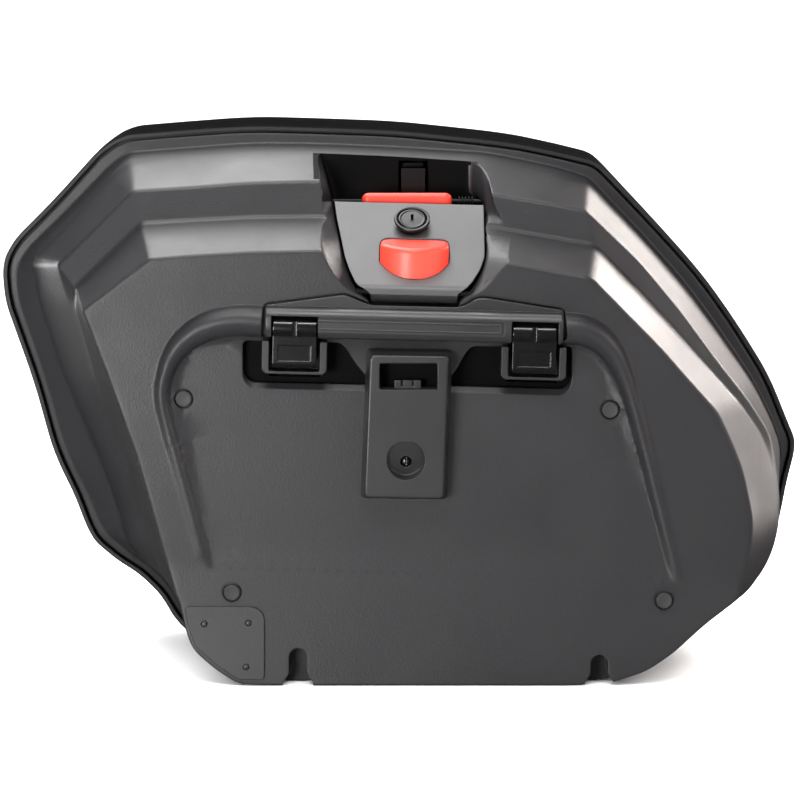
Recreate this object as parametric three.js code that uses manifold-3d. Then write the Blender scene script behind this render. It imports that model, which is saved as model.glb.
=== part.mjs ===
// Hard side case for a motorcycle: bike-side shell with carrying handle, lock, catch hooks and
// mounting bracket, and a hinged outer lid. Millimetres, +Z up, bike side towards -Y.
import * as THREE from 'three';
import { mergeVertices } from 'three/addons/utils/BufferGeometryUtils.js';
import Module from 'manifold-3d';

// ---------------------------------------------------------------- driving dimensions
const WALL = 3;                 // moulded wall of both shells
const GAP = 0.35;               // clearance between touching pieces
const SEAM_Y = 0;               // front face of the shell's rim
const RIM_T = 4;                // thickness of the rim flange
const STEP_Y = -52;             // foot of the first slope
const STEP2_Y = -58;            // head of the second slope
const WALL_Y = -108;            // rear wall, the face towards the motorcycle
const FOOT_Y = -118;            // rear wall at its lowest edge
const CREASE_L = 76, CREASE_R = 64.5; // height where the wall starts to lean out, left and right
const PANEL_Y = -101;           // recessed field of the rear wall, at its top
const PANEL_LOW_Y = -106.5;     // and at the crease
const LIP = 4.8;                // how far the lid's lip stands outside the rim
const LID_Y = 120;              // outermost face of the lid
const TILT = 1.4 * Math.PI / 180;     // the handle and catch gear sits turned by this much
const MECH = [9.2, 0, 240];     // centre of the catch gear
const SHAFT_Y = -109.5, SHAFT_V = -4; // hook shaft, in the catch gear's frame
const SHAFT_R = 3;
const COVER_R = 10.5, COVER_U = 98;   // half-round mechanism cover
const BARREL_R = 8.2;
const HOOK_U = [-78.2, 79.4];   // centre of each hook along the shaft
const HOOK_W = 29;
const FLOOR = 9.5;              // height of the inside of both shells above the ground
const PIN_Y = -103.6, PIN_V = 20.8, PIN_R = 1.8, HUB_R = 6.8; // handle pivot, in the gear's frame
const FLAP_TOP = [-47, 76];     // y, v of the handle flap's upper edge
const LEVER_Y = -27, LEVER_Z = 316, LEVER_PIN_R = 1.6;
const FLAP_T = 3.4;
const HINGE_Y = -4, HINGE_Z = 3.1, HINGE_R = 2.9, HINGE_PIN_R = 1.3;
const HINGE_X = [-25, 90];
const PAD_R = 5.4;
const PADS = [[-143.1, 190.1], [139.2, 182.8], [-111.6, 61.6], [175.4, 56.2]];
const SLOTS = [[-67.7, 24.5, 6], [132.4, 20, 5.7]]; // centre x, top z, half width

// Stations round the case, clockwise from the lower left. Each holds the outline point [x, z] of
// the rim, the flange's inner edge, the side ledge, the first slope's foot, the second slope's
// head and the rear wall's edge.
const STATIONS = [
  [[-60, 5.5], [-60, 5.2], [-60, 0], [-60, 0], [-60, 0], [-60, 0]],
  [[-112, 5.5], [-112, 5], [-111, 1.5], [-109, 0.6], [-108.5, 0.6], [-107.3, 0.6]],
  [[-136, 9.5], [-134.5, 9.5], [-131, 9.5], [-127, 10], [-126, 10.3], [-123.7, 11]],
  [[-153, 24.5], [-151, 25.5], [-147, 25], [-143, 24], [-142, 24], [-138.4, 23.9]],
  [[-162.6, 42.3], [-159, 44], [-154, 43], [-149, 41], [-148, 41], [-143.6, 40.1]],
  [[-179.2, 58.6], [-174.5, 60], [-168, 58], [-156.5, 55.5], [-155.3, 55], [-146.5, 54]],
  [[-193.5, 67.4], [-188, 69.5], [-180, 66.5], [-162.5, 63.5], [-161, 63], [-149.3, 60]],
  [[-209, 80.5], [-203.5, 83], [-191, 84], [-171, 84], [-169, 84], [-156.5, 84]],
  [[-214.5, 91.5], [-209.5, 93], [-194, 98], [-175, 98], [-173, 98], [-160.2, 98]],
  [[-221.4, 110.8], [-216.5, 111.5], [-199, 114], [-180, 115], [-178, 115], [-165, 116]],
  [[-236.1, 141.7], [-231.5, 142], [-211, 145], [-191, 150], [-189, 150.5], [-174.8, 152]],
  [[-248.7, 190.6], [-244.5, 191], [-231, 193], [-208, 196], [-205, 196.5], [-190.2, 197]],
  [[-267.9, 246.2], [-263, 247], [-248.5, 248], [-222, 247], [-218.5, 246.5], [-205, 238]],
  [[-269.3, 265.6], [-264, 265.5], [-251, 267], [-229.5, 268], [-217.8, 255], [-208.8, 247.5]],
  [[-267.8, 274.6], [-262, 272.8], [-252, 271.5], [-230.9, 275], [-218.2, 259.4], [-209.3, 249.6]],
  [[-261.1, 286], [-255, 283], [-249, 279], [-228, 277.8], [-215.5, 261.9], [-206.5, 251.8]],
  [[-235.7, 311.1], [-230.5, 306.5], [-225.5, 302], [-208, 297.3], [-197.5, 279.5], [-187.9, 266]],
  [[-204, 345.8], [-199, 339], [-195.5, 333.5], [-182.5, 322.2], [-175.3, 300.8], [-166.5, 282]],
  [[-193.2, 353], [-190, 345.5], [-187.7, 339.5], [-180.7, 323.9], [-173.6, 302.3], [-165, 283.1]],
  [[-185.3, 355.8], [-184, 348.3], [-182.5, 342.5], [-178.5, 325.2], [-171.5, 303], [-163, 283.7]],
  [[-143.4, 359.2], [-143.4, 351.3], [-142.8, 346.2], [-140.4, 327.5], [-140.2, 304.8], [-137.2, 285.8]],
  [[-102.9, 361.9], [-102.9, 354.4], [-102.5, 349.3], [-100.8, 330.6], [-100.6, 306.8], [-98.5, 288.1]],
  [[-60.4, 360.8], [-60, 354], [-59.6, 349.2], [-58, 331.7], [-58, 307.3], [-57, 289]],
  [[-3.4, 358.8], [-3.4, 351.7], [-3.4, 346.8], [-3.4, 329.2], [-3.4, 306.1], [-3.3, 287.8]],
  [[57, 352.6], [57.7, 348], [58, 342.8], [59.1, 323.5], [60, 300.5], [60, 282.3]],
  [[80.3, 349.6], [80, 343.8], [80, 338.6], [80, 319.6], [78, 297.4], [75, 280.3]],
  [[109.9, 343.4], [109, 337.5], [108.7, 332.6], [107.6, 315.1], [107.4, 292.2], [105.1, 274.4]],
  [[132.6, 337.9], [129, 331], [128, 326.8], [124.5, 311.5], [130, 288.3], [124, 271]],
  [[140, 331], [135, 325.5], [133.4, 322], [127.5, 309], [134, 285.5], [128.5, 268.5]],
  [[145.1, 325.6], [139.5, 320.5], [137.6, 317.4], [131, 306], [138, 281.8], [132, 264.9]],
  [[172.8, 296.7], [167, 291.8], [165.8, 288.5], [161.7, 276.7], [163, 256], [153.5, 243]],
  [[203.8, 262.8], [197.5, 257.5], [195.6, 254.6], [189, 244.2], [184, 232.8], [172, 224.4]],
  [[227.3, 230.2], [220.5, 226], [219, 223.3], [212.5, 212.5], [205, 208.5], [190.5, 203.5]],
  [[251, 192.7], [245, 190], [243.4, 188.4], [236.5, 182.5], [229.5, 181], [210, 182]],
  [[263.5, 162.5], [258.6, 161.5], [256.8, 161], [251, 160], [244.5, 159.5], [219.5, 161]],
  [[269.4, 148.5], [263.6, 147.8], [261.6, 147.4], [254, 145.5], [249.8, 144.3], [225.5, 146.5]],
  [[269, 140.5], [264.4, 138.5], [262.4, 137], [256, 132.5], [253, 130.5], [229.5, 131.5]],
  [[264, 120], [262.6, 119], [261.4, 118], [258.3, 113.5], [256.3, 111.5], [233.8, 110.5]],
  [[260.5, 100], [260, 99.5], [259.5, 99], [258, 98.5], [256.7, 97.5], [233.6, 97]],
  [[257, 84], [256.7, 84], [256.5, 84], [255, 83.5], [254, 83], [231, 81.5]],
  [[250, 66], [250, 66], [249.8, 66.5], [249, 68.5], [248.2, 69], [226.5, 67]],
  [[236, 46.5], [236, 46.8], [236, 47], [235.5, 49.5], [235, 50.2], [225, 56.5]],
  [[205.5, 27], [205.4, 27.3], [205, 28], [203.5, 32], [203, 32.8], [201.8, 38.8]],
  [[179, 12.5], [179, 12.8], [179, 13], [179, 15.5], [179, 16], [180.8, 20.1]],
  [[161, 6.2], [161, 6], [161, 4], [162, 5.5], [162, 5.8], [163.5, 8.8]],
  [[140, 5.5], [140, 5.2], [140, 0.8], [140, 0.6], [140, 0.6], [139.7, 1.4]],
  [[110, 5.5], [110, 5.2], [110, 0], [110, 0], [110, 0], [110, 0]],
];

// ---------------------------------------------------------------- small geometry library
const wasm = await Module();
wasm.setup();

function clean(geometry) {
  const g = geometry.index ? geometry.toNonIndexed() : geometry.clone();
  g.deleteAttribute('normal');
  g.deleteAttribute('uv');
  return mergeVertices(g, 1e-4);
}
function solid(geometry) {
  const g = clean(geometry);
  const mesh = new wasm.Mesh({
    numProp: 3,
    vertProperties: new Float32Array(g.attributes.position.array),
    triVerts: new Uint32Array(g.index.array),
  });
  return new wasm.Manifold(mesh);
}
// The mesh of a solid, with its hair-thin edges closed up so that every corner is one vertex.
const SHORTEST = 0.02;
function geometryOf(manifold) {
  const m = manifold.getMesh();
  const pos = Array.from(m.vertProperties);
  let tri = [];
  for (let i = 0; i < m.triVerts.length; i += 3) tri.push([m.triVerts[i], m.triVerts[i + 1], m.triVerts[i + 2]]);
  const near = (a, b) => Math.hypot(pos[3 * a] - pos[3 * b], pos[3 * a + 1] - pos[3 * b + 1], pos[3 * a + 2] - pos[3 * b + 2]) < SHORTEST;
  for (let pass = 0; pass < 6; pass++) {
    const to = new Map();
    const find = (v) => { while (to.has(v)) v = to.get(v); return v; };
    let found = 0;
    for (const t of tri) {
      for (let k = 0; k < 3; k++) {
        const a = find(t[k]), b = find(t[(k + 1) % 3]);
        if (a !== b && near(a, b)) { to.set(Math.max(a, b), Math.min(a, b)); found++; }
      }
    }
    if (!found) break;
    const seen = new Map();
    const next = [];
    for (const t of tri) {
      const f = t.map(find);
      if (f[0] === f[1] || f[1] === f[2] || f[0] === f[2]) continue;
      const key = [...f].sort((x, y) => x - y).join();
      if (seen.has(key)) { next[seen.get(key)] = null; seen.delete(key); } else { seen.set(key, next.length); next.push(f); }
    }
    tri = next.filter(Boolean);
  }
  const used = new Map();
  const out = [];
  const index = tri.flat().map((v) => {
    if (!used.has(v)) { used.set(v, out.length / 3); out.push(pos[3 * v], pos[3 * v + 1], pos[3 * v + 2]); }
    return used.get(v);
  });
  const g = new THREE.BufferGeometry();
  g.setAttribute('position', new THREE.Float32BufferAttribute(out, 3));
  g.setIndex(index);
  return g;
}
const cut = (a, ...bs) => bs.reduce((s, b) => s.subtract(b), a);
const join = (a, ...bs) => bs.reduce((s, b) => s.add(b), a);

// Closed skin through a list of rings of equal length, capped at both ends. Ring points are [x, y, z].
function loftGeometry(rings, planar = (p) => new THREE.Vector2(p[0], p[2])) {
  const n = rings[0].length;
  const pos = [];
  for (const r of rings) for (const p of r) pos.push(...p);
  const idx = [];
  for (let k = 0; k + 1 < rings.length; k++) {
    for (let i = 0; i < n; i++) {
      const j = (i + 1) % n;
      const a = k * n + i, b = k * n + j, c = (k + 1) * n + i, d = (k + 1) * n + j;
      idx.push(a, b, d, a, d, c);
    }
  }
  const capAt = (r, flip) => {
    const base = r * n;
    const contour = rings[r].map(planar);
    const cw = THREE.ShapeUtils.isClockWise(contour);
    const order = contour.map((_, i) => i);
    if (cw) { contour.reverse(); order.reverse(); }
    for (const t of THREE.ShapeUtils.triangulateShape(contour, [])) {
      const f = t.map((i) => base + order[i]);
      if (cw !== flip) f.reverse();
      idx.push(...f);
    }
  };
  // side faces wind a->b->d; the caps are turned to agree with them
  capAt(0, true);
  capAt(rings.length - 1, false);
  const g = new THREE.BufferGeometry();
  g.setAttribute('position', new THREE.Float32BufferAttribute(pos, 3));
  g.setIndex(idx);
  if (volume(g) < 0) {
    const a = g.index.array;
    for (let i = 0; i < a.length; i += 3) { const t = a[i]; a[i] = a[i + 1]; a[i + 1] = t; }
  }
  return g;
}
function volume(g) {
  const p = g.attributes.position.array, a = g.index.array;
  let v = 0;
  for (let i = 0; i < a.length; i += 3) {
    const [x1, y1, z1] = [p[3 * a[i]], p[3 * a[i] + 1], p[3 * a[i] + 2]];
    const [x2, y2, z2] = [p[3 * a[i + 1]], p[3 * a[i + 1] + 1], p[3 * a[i + 1] + 2]];
    const [x3, y3, z3] = [p[3 * a[i + 2]], p[3 * a[i + 2] + 1], p[3 * a[i + 2] + 2]];
    v += x1 * (y2 * z3 - z2 * y3) - y1 * (x2 * z3 - z2 * x3) + z1 * (x2 * y3 - y2 * x3);
  }
  return v / 6;
}
// Outline [x, z] pushed out (d > 0) or in (d < 0), corner by corner.
function offset(poly, d) {
  const n = poly.length;
  let area = 0;
  for (let i = 0; i < n; i++) {
    const [x1, z1] = poly[i], [x2, z2] = poly[(i + 1) % n];
    area += x1 * z2 - x2 * z1;
  }
  const s = area > 0 ? 1 : -1;
  return poly.map((p, i) => {
    const a = poly[(i + n - 1) % n], b = poly[(i + 1) % n];
    const e1 = new THREE.Vector2(p[0] - a[0], p[1] - a[1]).normalize();
    const e2 = new THREE.Vector2(b[0] - p[0], b[1] - p[1]).normalize();
    const n1 = new THREE.Vector2(e1.y * s, -e1.x * s), n2 = new THREE.Vector2(e2.y * s, -e2.x * s);
    const m = n1.clone().add(n2).normalize();
    const k = d / Math.max(0.6, m.dot(n1));
    return [p[0] + m.x * k, p[1] + m.y * k];
  });
}
const ringAt = (poly, y) => poly.map(([x, z]) => [x, typeof y === 'function' ? y(x, z) : y, z]);
// Straight block with an [x, z] outline between two depths.
const prismXZ = (poly, y0, y1) => loftGeometry([ringAt(poly, y0), ringAt(poly, y1)]);
// Straight block with a [y, z] outline between two x positions.
const prismYZ = (poly, x0, x1) => loftGeometry(
  [poly.map(([y, z]) => [x0, y, z]), poly.map(([y, z]) => [x1, y, z])], (p) => new THREE.Vector2(p[1], p[2]));
function box(x0, x1, y0, y1, z0, z1) {
  const g = new THREE.BoxGeometry(x1 - x0, y1 - y0, z1 - z0);
  return g.translate((x0 + x1) / 2, (y0 + y1) / 2, (z0 + z1) / 2);
}
// Round bar along X, Y or Z, centred on the two other coordinates.
function bar(axis, r, from, to, c, seg = 20) {
  const g = new THREE.CylinderGeometry(r, r, to - from, seg);
  if (axis === 'x') g.rotateZ(-Math.PI / 2).translate((from + to) / 2, c[0], c[1]);
  if (axis === 'y') g.translate(c[0], (from + to) / 2, c[1]);
  if (axis === 'z') g.rotateX(Math.PI / 2).translate(c[0], c[1], (from + to) / 2);
  return g;
}
function rounded(x0, x1, z0, z1, r, seg = 4) {
  const out = [];
  for (const [cx, cz, a0] of [[x1 - r, z0 + r, -90], [x1 - r, z1 - r, 0], [x0 + r, z1 - r, 90], [x0 + r, z0 + r, 180]]) {
    for (let i = 0; i <= seg; i++) {
      const a = (a0 + (90 * i) / seg) * Math.PI / 180;
      out.push([cx + r * Math.cos(a), cz + r * Math.sin(a)]);
    }
  }
  return out;
}
// Coil spring: a closed round wire along a helix about Z, from z0 to z1.
function coil(radius, wire, z0, z1, turns) {
  class Helix extends THREE.Curve {
    getPoint(t, target = new THREE.Vector3()) {
      const a = t * turns * 2 * Math.PI;
      return target.set(radius * Math.cos(a), radius * Math.sin(a), z0 + (z1 - z0) * t);
    }
  }
  const ring = new THREE.Shape();
  for (let i = 0; i < 6; i++) {
    const a = (i / 6) * 2 * Math.PI;
    if (i) ring.lineTo(wire * Math.cos(a), wire * Math.sin(a)); else ring.moveTo(wire, 0);
  }
  return new THREE.ExtrudeGeometry(ring, { steps: Math.round(turns * 10), extrudePath: new Helix(), bevelEnabled: false });
}

const root = new THREE.Group();
const mech = new THREE.Group();
mech.position.set(...MECH);
mech.rotation.y = TILT;
root.add(mech);
const MAT = {
  shell: { color: 0x5a585b, roughness: 0.62, metalness: 0 },
  lid: { color: 0x4b4a4d, roughness: 0.6, metalness: 0 },
  flap: { color: 0x9b999b, roughness: 0.5, metalness: 0 },
  red: { color: 0xe8402f, roughness: 0.4, metalness: 0 },
  dark: { color: 0x26262a, roughness: 0.35, metalness: 0 },
  steel: { color: 0x9a9a9c, roughness: 0.3, metalness: 1 },
  rubber: { color: 0x1b1b1c, roughness: 0.85, metalness: 0 },
  lens: { color: 0xa01510, roughness: 0.15, metalness: 0 },
};
function part(name, shape, mat, parent = root) {
  const geometry = shape.isBufferGeometry ? clean(shape) : geometryOf(shape);
  geometry.computeVertexNormals();
  const mesh = new THREE.Mesh(geometry, new THREE.MeshStandardMaterial(MAT[mat]));
  mesh.name = name;
  parent.add(mesh);
  return mesh;
}
// A point of the catch gear's frame (u along it, v up it) in the case's own x, z.
const cosT = Math.cos(TILT), sinT = Math.sin(TILT);
const toXZ = (u, v) => [MECH[0] + u * cosT + v * sinT, MECH[2] - u * sinT + v * cosT];
const toUV = (x, z) => [(x - MECH[0]) * cosT - (z - MECH[2]) * sinT, (x - MECH[0]) * sinT + (z - MECH[2]) * cosT];
// A block given in the catch gear's frame, placed in the case's frame.
function fromMech(geometry) {
  return geometry.applyMatrix4(new THREE.Matrix4().makeRotationY(TILT).setPosition(...MECH));
}

// ---------------------------------------------------------------- inner shell
const RING_Y = [SEAM_Y, SEAM_Y - 1, -12, STEP_Y, STEP2_Y, WALL_Y];
const outline = (k) => STATIONS.map((s) => s[k]);
const O = [0, 1, 2, 3, 4, 5].map(outline);
const creaseAt = (x) => CREASE_L + (CREASE_R - CREASE_L) * (x + 150) / 370;
const wallY = (x, z) => WALL_Y - (WALL_Y - FOOT_Y) * Math.max(0, Math.min(1, (creaseAt(x) - z) / creaseAt(x)));

// the rear wall's edge carried on past the wall, to be trimmed by the front cutter
const ahead = STATIONS.map((s) => {
  const k = s[5][1] > 100 ? 16 / 50 : 0.15;
  return [s[5][0] + (s[5][0] - s[4][0]) * k, s[5][1] + (s[5][1] - s[4][1]) * k];
});
let outer = solid(loftGeometry([
  ringAt(O[0], SEAM_Y + RIM_T), ringAt(O[0], RING_Y[0]), ringAt(O[1], RING_Y[1]), ringAt(O[2], RING_Y[2]),
  ringAt(O[3], RING_Y[3]), ringAt(O[4], RING_Y[4]), ringAt(O[5], RING_Y[5]), ringAt(ahead, RING_Y[5] - 16),
]));
const trimProfile = (x) => [[x, WALL_Y, 420], [x, WALL_Y, creaseAt(x)],
  [x, FOOT_Y, 0], [x, FOOT_Y - 0.8, -6], [x, -160, -6], [x, -160, 420]];
outer = outer.subtract(solid(loftGeometry([-320, -200, -150, -118, -90, -40, 0, 40, 80, 120, 160, 190, 220, 320].map(trimProfile), (p) => new THREE.Vector2(p[1], p[2]))));

// rounded bead that runs on from the mechanism cover and dies out down each side of the field
function bead(path) {
  const rings = path.map(([x, z, dx, dz, w, h], k) => {
    const ring = [];
    for (let i = 0; i <= 6; i++) {
      const a = Math.PI * i / 6;
      ring.push([x + dx * w * Math.cos(a), WALL_Y + 0.9 - (h + 0.9) * Math.sin(a), z + dz * w * Math.cos(a)]);
    }
    ring.push([x - dx * w, WALL_Y + 2.6, z - dz * w], [x + dx * w, WALL_Y + 2.6, z + dz * w]);
    return ring;
  });
  return rings;
}
const BEAD_L = [[-90.4, 242.2, 0, 1, 10.2, 9], [-106, 243, 0, 1, 10, 8.5], [-122.4, 240.5, -0.15, 0.99, 9.3, 7.5], [-136, 234.5, -0.5, 0.87, 7.4, 6],
  [-147.5, 224, -0.8, 0.6, 5.8, 4], [-154.5, 210, -0.96, 0.28, 4.2, 2.4], [-156.4, 193, -1, -0.1, 2.4, 1]];
const BEAD_R = [[108.8, 237.6, 0, 1, 10.2, 9], [121, 236.3, 0.17, 0.98, 9.4, 8], [132.5, 230.5, 0.5, 0.87, 8.2, 6.8], [141.5, 220.5, 0.82, 0.57, 6.4, 5],
  [147.2, 208, 0.94, 0.34, 4.6, 3], [153, 190, 0.96, 0.26, 3, 1.4], [160, 166, 0.97, 0.24, 1.8, 0.8]];
const topDown = (p) => new THREE.Vector2(p[1], p[0] * 0.3 + p[2]);
outer = join(outer, solid(loftGeometry(bead(BEAD_L), topDown)), solid(loftGeometry(bead(BEAD_R), topDown)));

// inside of the shell
const innerRing = (k, d, y) => ringAt(offset(O[k], -d).map(([x, z]) => [x, Math.max(z, FLOOR)]), y);
let cavity = solid(loftGeometry([
  innerRing(1, 2.6, SEAM_Y + RIM_T + 5), innerRing(1, 2.6, 2), innerRing(2, WALL, -9.4), innerRing(3, WALL, STEP_Y + 3),
  innerRing(4, WALL + 0.4, STEP2_Y + 3), innerRing(5, WALL, WALL_Y + 3),
]));

// pocket for the handle: sections at rising heights, open towards -Y
const BAY_BACK = -14;
const POCKET = [ // z, left edge x, y, left inner x, y, right inner x, y, right edge x, y
  [250.2, -20, -109, -19, -108.5, 38, -108.5, 40, -109],
  [257, -24, -109, -21, -107.5, 39.5, -107.5, 46, -109],
  [262, -36, -109, -28.5, -104, 46.5, -104, 58, -109],
  [275, -46, -109, -35, -93, 54.5, -92, 66.5, -109],
  [283, -49.5, -109, -37.5, -85, 56.8, -84, 74, -108],
  [292, -52, -97, -39.6, -76, 57.2, -76, 77, -76],
  [297, -52.3, -84, -41, -70, 57.4, -70, 77.6, -58.6],
  [307, -52.5, -58.2, -43.5, -54, 57.4, -50, 70, -56],
  [317, -52.8, -56, -45.4, -45, 57.4, -43, 62.5, -54],
  [330, -53.5, -52.4, -49, -42, 57.2, -32, 60.5, -38],
  [345, -56.5, -22, -53.5, -14.6, 56.6, -14.6, 58.8, -12],
  [352.5, -57.5, -10, -55.5, -14.3, 56.2, -14.3, 58, -8],
];
function pocketRing([z, ax, ay, bx, by, cx, cy, dx, dy], grow = 0) {
  const back = BAY_BACK + grow;
  return [[ax - grow, -140, z], [dx + grow, -140, z], [dx + grow, dy, z], [cx + grow, Math.min(cy, back - 0.1), z], [cx + grow, back, z],
    [bx - grow, back, z], [bx - grow, Math.min(by, back - 0.1), z], [ax - grow, ay, z]];
}
const topLine = (p) => new THREE.Vector2(p[0], p[1]);
const pocketCut = solid(loftGeometry(POCKET.map((r) => pocketRing(r)), topLine));
const pocketGrown = POCKET.map((r) => pocketRing(r, WALL));
pocketGrown.unshift(pocketGrown[0].map(([x, y, z]) => [x, y, z - WALL]));
pocketGrown.push(pocketGrown[pocketGrown.length - 1].map(([x, y, z]) => [x, y, z + WALL]));
const pocketWalls = solid(loftGeometry(pocketGrown, topLine));

// channel behind the mechanism cover, and the two hook wells below it
const channel = (g) => solid(fromMech(box(-COVER_U + 3 - g, COVER_U - 3 + g, -130, -100 + g, -10 - g, 8 + g)));
const TRAYS = [[-111, -30.5], [24, 104]];
const tray = (u, g) => {
  const [x0, z0] = [u[0] - g, -44 - g], [x1, z1] = [u[1] + g, -11 + g];
  return solid(fromMech(prismXZ(rounded(x0, x1, z0, z1, 5 + g, 3), -130, -94 + g)));
};
const well = (u, g) => solid(fromMech(box(u - 17 - g, u + 17 + g, -130, -84 + g, -38 - g, 8 + g)));
// recessed field of the rear wall
const FIELD = [[-128, 75.5], [-129.4, 83], [-143.6, 136.7], [-156.4, 185.7], [-159, 205], [-153, 223], [-140, 232],
  [-122.4, 236], [109.2, 233.5], [126, 230.5], [140, 221.5], [149.5, 206], [165.3, 150], [185.1, 68], [186, 64]];
const FIELD_IN = [[-124, 75.5], [-125.4, 84], [-139.4, 137], [-152, 186], [-153.5, 203], [-147, 217], [-136, 224],
  [-122.4, 227], [109.2, 224.5], [122, 222], [134, 214.5], [140, 203], [158, 148], [180, 68.5], [181, 64]];
const fieldY = (z) => PANEL_LOW_Y + (PANEL_Y - PANEL_LOW_Y) * (z - 65) / (232 - 65);
const field = (g) => solid(loftGeometry([
  ringAt(offset(FIELD, 3 + g), WALL_Y - 8), ringAt(offset(FIELD, g + 0.2), WALL_Y - 0.4), ringAt(offset(FIELD_IN, g), (x, z) => fieldY(z) + g),
]));
// notches in the lower edge
const slotOutline = ([x, top, h], g) => {
  const out = [[x + h + 4 + g, -10], [x + h + 4 + g, 2], [x + h + g, 7]];
  for (let i = 0; i <= 6; i++) {
    const a = (180 * i / 6) * Math.PI / 180;
    out.push([x + (h + g) * Math.cos(a), top - h + (h + g) * Math.sin(a)]);
  }
  out.push([x - h - g, 7], [x - h - 4 - g, 2], [x - h - 4 - g, -10]);
  return out;
};
const slot = (s, g) => solid(prismXZ(slotOutline(s, g), -140, -101 + g));
// room for the two hinges under the lower edge
const hingeRoom = (x) => solid(prismYZ([[-6, -2], [-6 - 24, -2], [-6 - 24, 3.3], [-9, 3.3], [-8.2, 6.6], [12, 6.6], [12, -2]], x - 21, x + 21));

cavity = cut(cavity, pocketWalls, channel(WALL), ...TRAYS.map((t) => tray(t, WALL)), ...HOOK_U.map((u) => well(u, WALL)),
  field(WALL), ...SLOTS.map((s) => slot(s, WALL)));
let inner = cut(outer, cavity, pocketCut, channel(0), ...TRAYS.map((t) => tray(t, 0)), ...HOOK_U.map((u) => well(u, 0)),
  field(0), ...SLOTS.map((s) => slot(s, 0)), ...HINGE_X.map(hingeRoom));

// slot for the latch bolt through the back of the handle pocket, blind holes for the two pivot pins
inner = cut(inner, solid(box(-1, 19, -16, -9, 318, 343)),
  solid(fromMech(bar('x', PIN_R + GAP, -38.6, 38.4, [PIN_Y, PIN_V], 16))),
  solid(bar('x', LEVER_PIN_R + GAP, -47.6, 59.4, [LEVER_Y, LEVER_Z], 16)));
part('inner_shell', inner, 'shell');

// ---------------------------------------------------------------- lid
const lidBottom = (poly, z0) => poly.map(([x, z]) => [x, Math.max(z, z0)]);
const lipOutline = lidBottom(offset(O[0], LIP), 0.9);
const swell = (poly, d, rise, drop) => poly.map(([x, z]) => {
  const t = Math.max(0, Math.min(1, z / 366));
  const s = Math.max(-1, Math.min(1, x / 274));
  return [x - s * d, z + rise * t * t - 0 + drop * (1 - t) * (1 - t)];
});
const L1 = lipOutline;
const L2 = swell(lipOutline, 0.5, 2, 0.6), L3 = swell(lipOutline, 3, 4.4, 4), L4 = swell(lipOutline, 9, 1, 12), L5 = swell(lipOutline, 22, -9, 26),
  L6 = swell(lipOutline, 46, -32, 46);
const lidOuter = solid(loftGeometry([ringAt(L1, -1), ringAt(L1, 10), ringAt(L2, 30), ringAt(L3, 62), ringAt(L4, 92), ringAt(L5, 108), ringAt(L6, 116)]));
const inset = (poly, d) => offset(poly, -d).map(([x, z]) => [x, z]);
const lidIn = (poly, d, y) => ringAt(inset(poly, d).map(([x, z]) => [x, Math.max(z, FLOOR)]), y);
const lipIn = ringAt(offset(O[0], 1.7).map(([x, z]) => [x, z]), -4);
const lipInB = ringAt(offset(O[0], 1.7), SEAM_Y + RIM_T + 3.6);
const lidCavity = solid(loftGeometry([lidIn(offset(O[0], 0), 3.2, -4), lidIn(offset(O[0], 0), 3.2, 12), lidIn(L2, 3.4, 30), lidIn(L3, 3.4, 60), lidIn(L4, 3.6, 88), lidIn(L5, 4, 103.5), lidIn(L6, 4, 111.5)]));
const lipCavity = solid(loftGeometry([lipIn, lipInB]));
const lidHingeRoom = (x) => solid(prismYZ([[-12, -3], [0.9, -3], [0.9, 6.6], [-12, 6.6]], x - 21, x + 21));
const lidLeafRoom = (x) => solid(prismYZ([[-2, -3], [26, -3], [26, 3.6], [-2, 3.6]], x - 8.4, x + 8.4));
let lid = cut(lidOuter, lidCavity, lipCavity, ...HINGE_X.map(lidHingeRoom), ...HINGE_X.map(lidLeafRoom));
part('lid_shell', lid, 'lid');

// sealing ring on the lid's inner ledge
const gasketRing = (d, y) => ringAt(offset(O[0], d).map(([x, z]) => [x, Math.max(z, 5.6 - (d + 0.2))]), y);
part('lid_gasket', cut(
  solid(loftGeometry([gasketRing(-0.2, SEAM_Y + RIM_T + 0.4), gasketRing(-0.2, SEAM_Y + RIM_T + 3.2)])),
  solid(loftGeometry([gasketRing(-3.4, -2), gasketRing(-3.4, 20)]))), 'rubber');

// outer trim panel, raised on the lid's face
const trimIn = (d, y) => ringAt(offset(L6, -d), y);
part('lid_trim_panel', loftGeometry([trimIn(10, 116.4), trimIn(10, 118.2), trimIn(14, LID_Y)]), 'shell');

// catch for the latch bolt, under the lid's upper wall
part('striker_plate', prismYZ([[8, 352.8], [11, 352.8], [11, 338.4], [-7, 338.4], [-7, 341], [8, 341]], 2, 16), 'steel');

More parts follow.
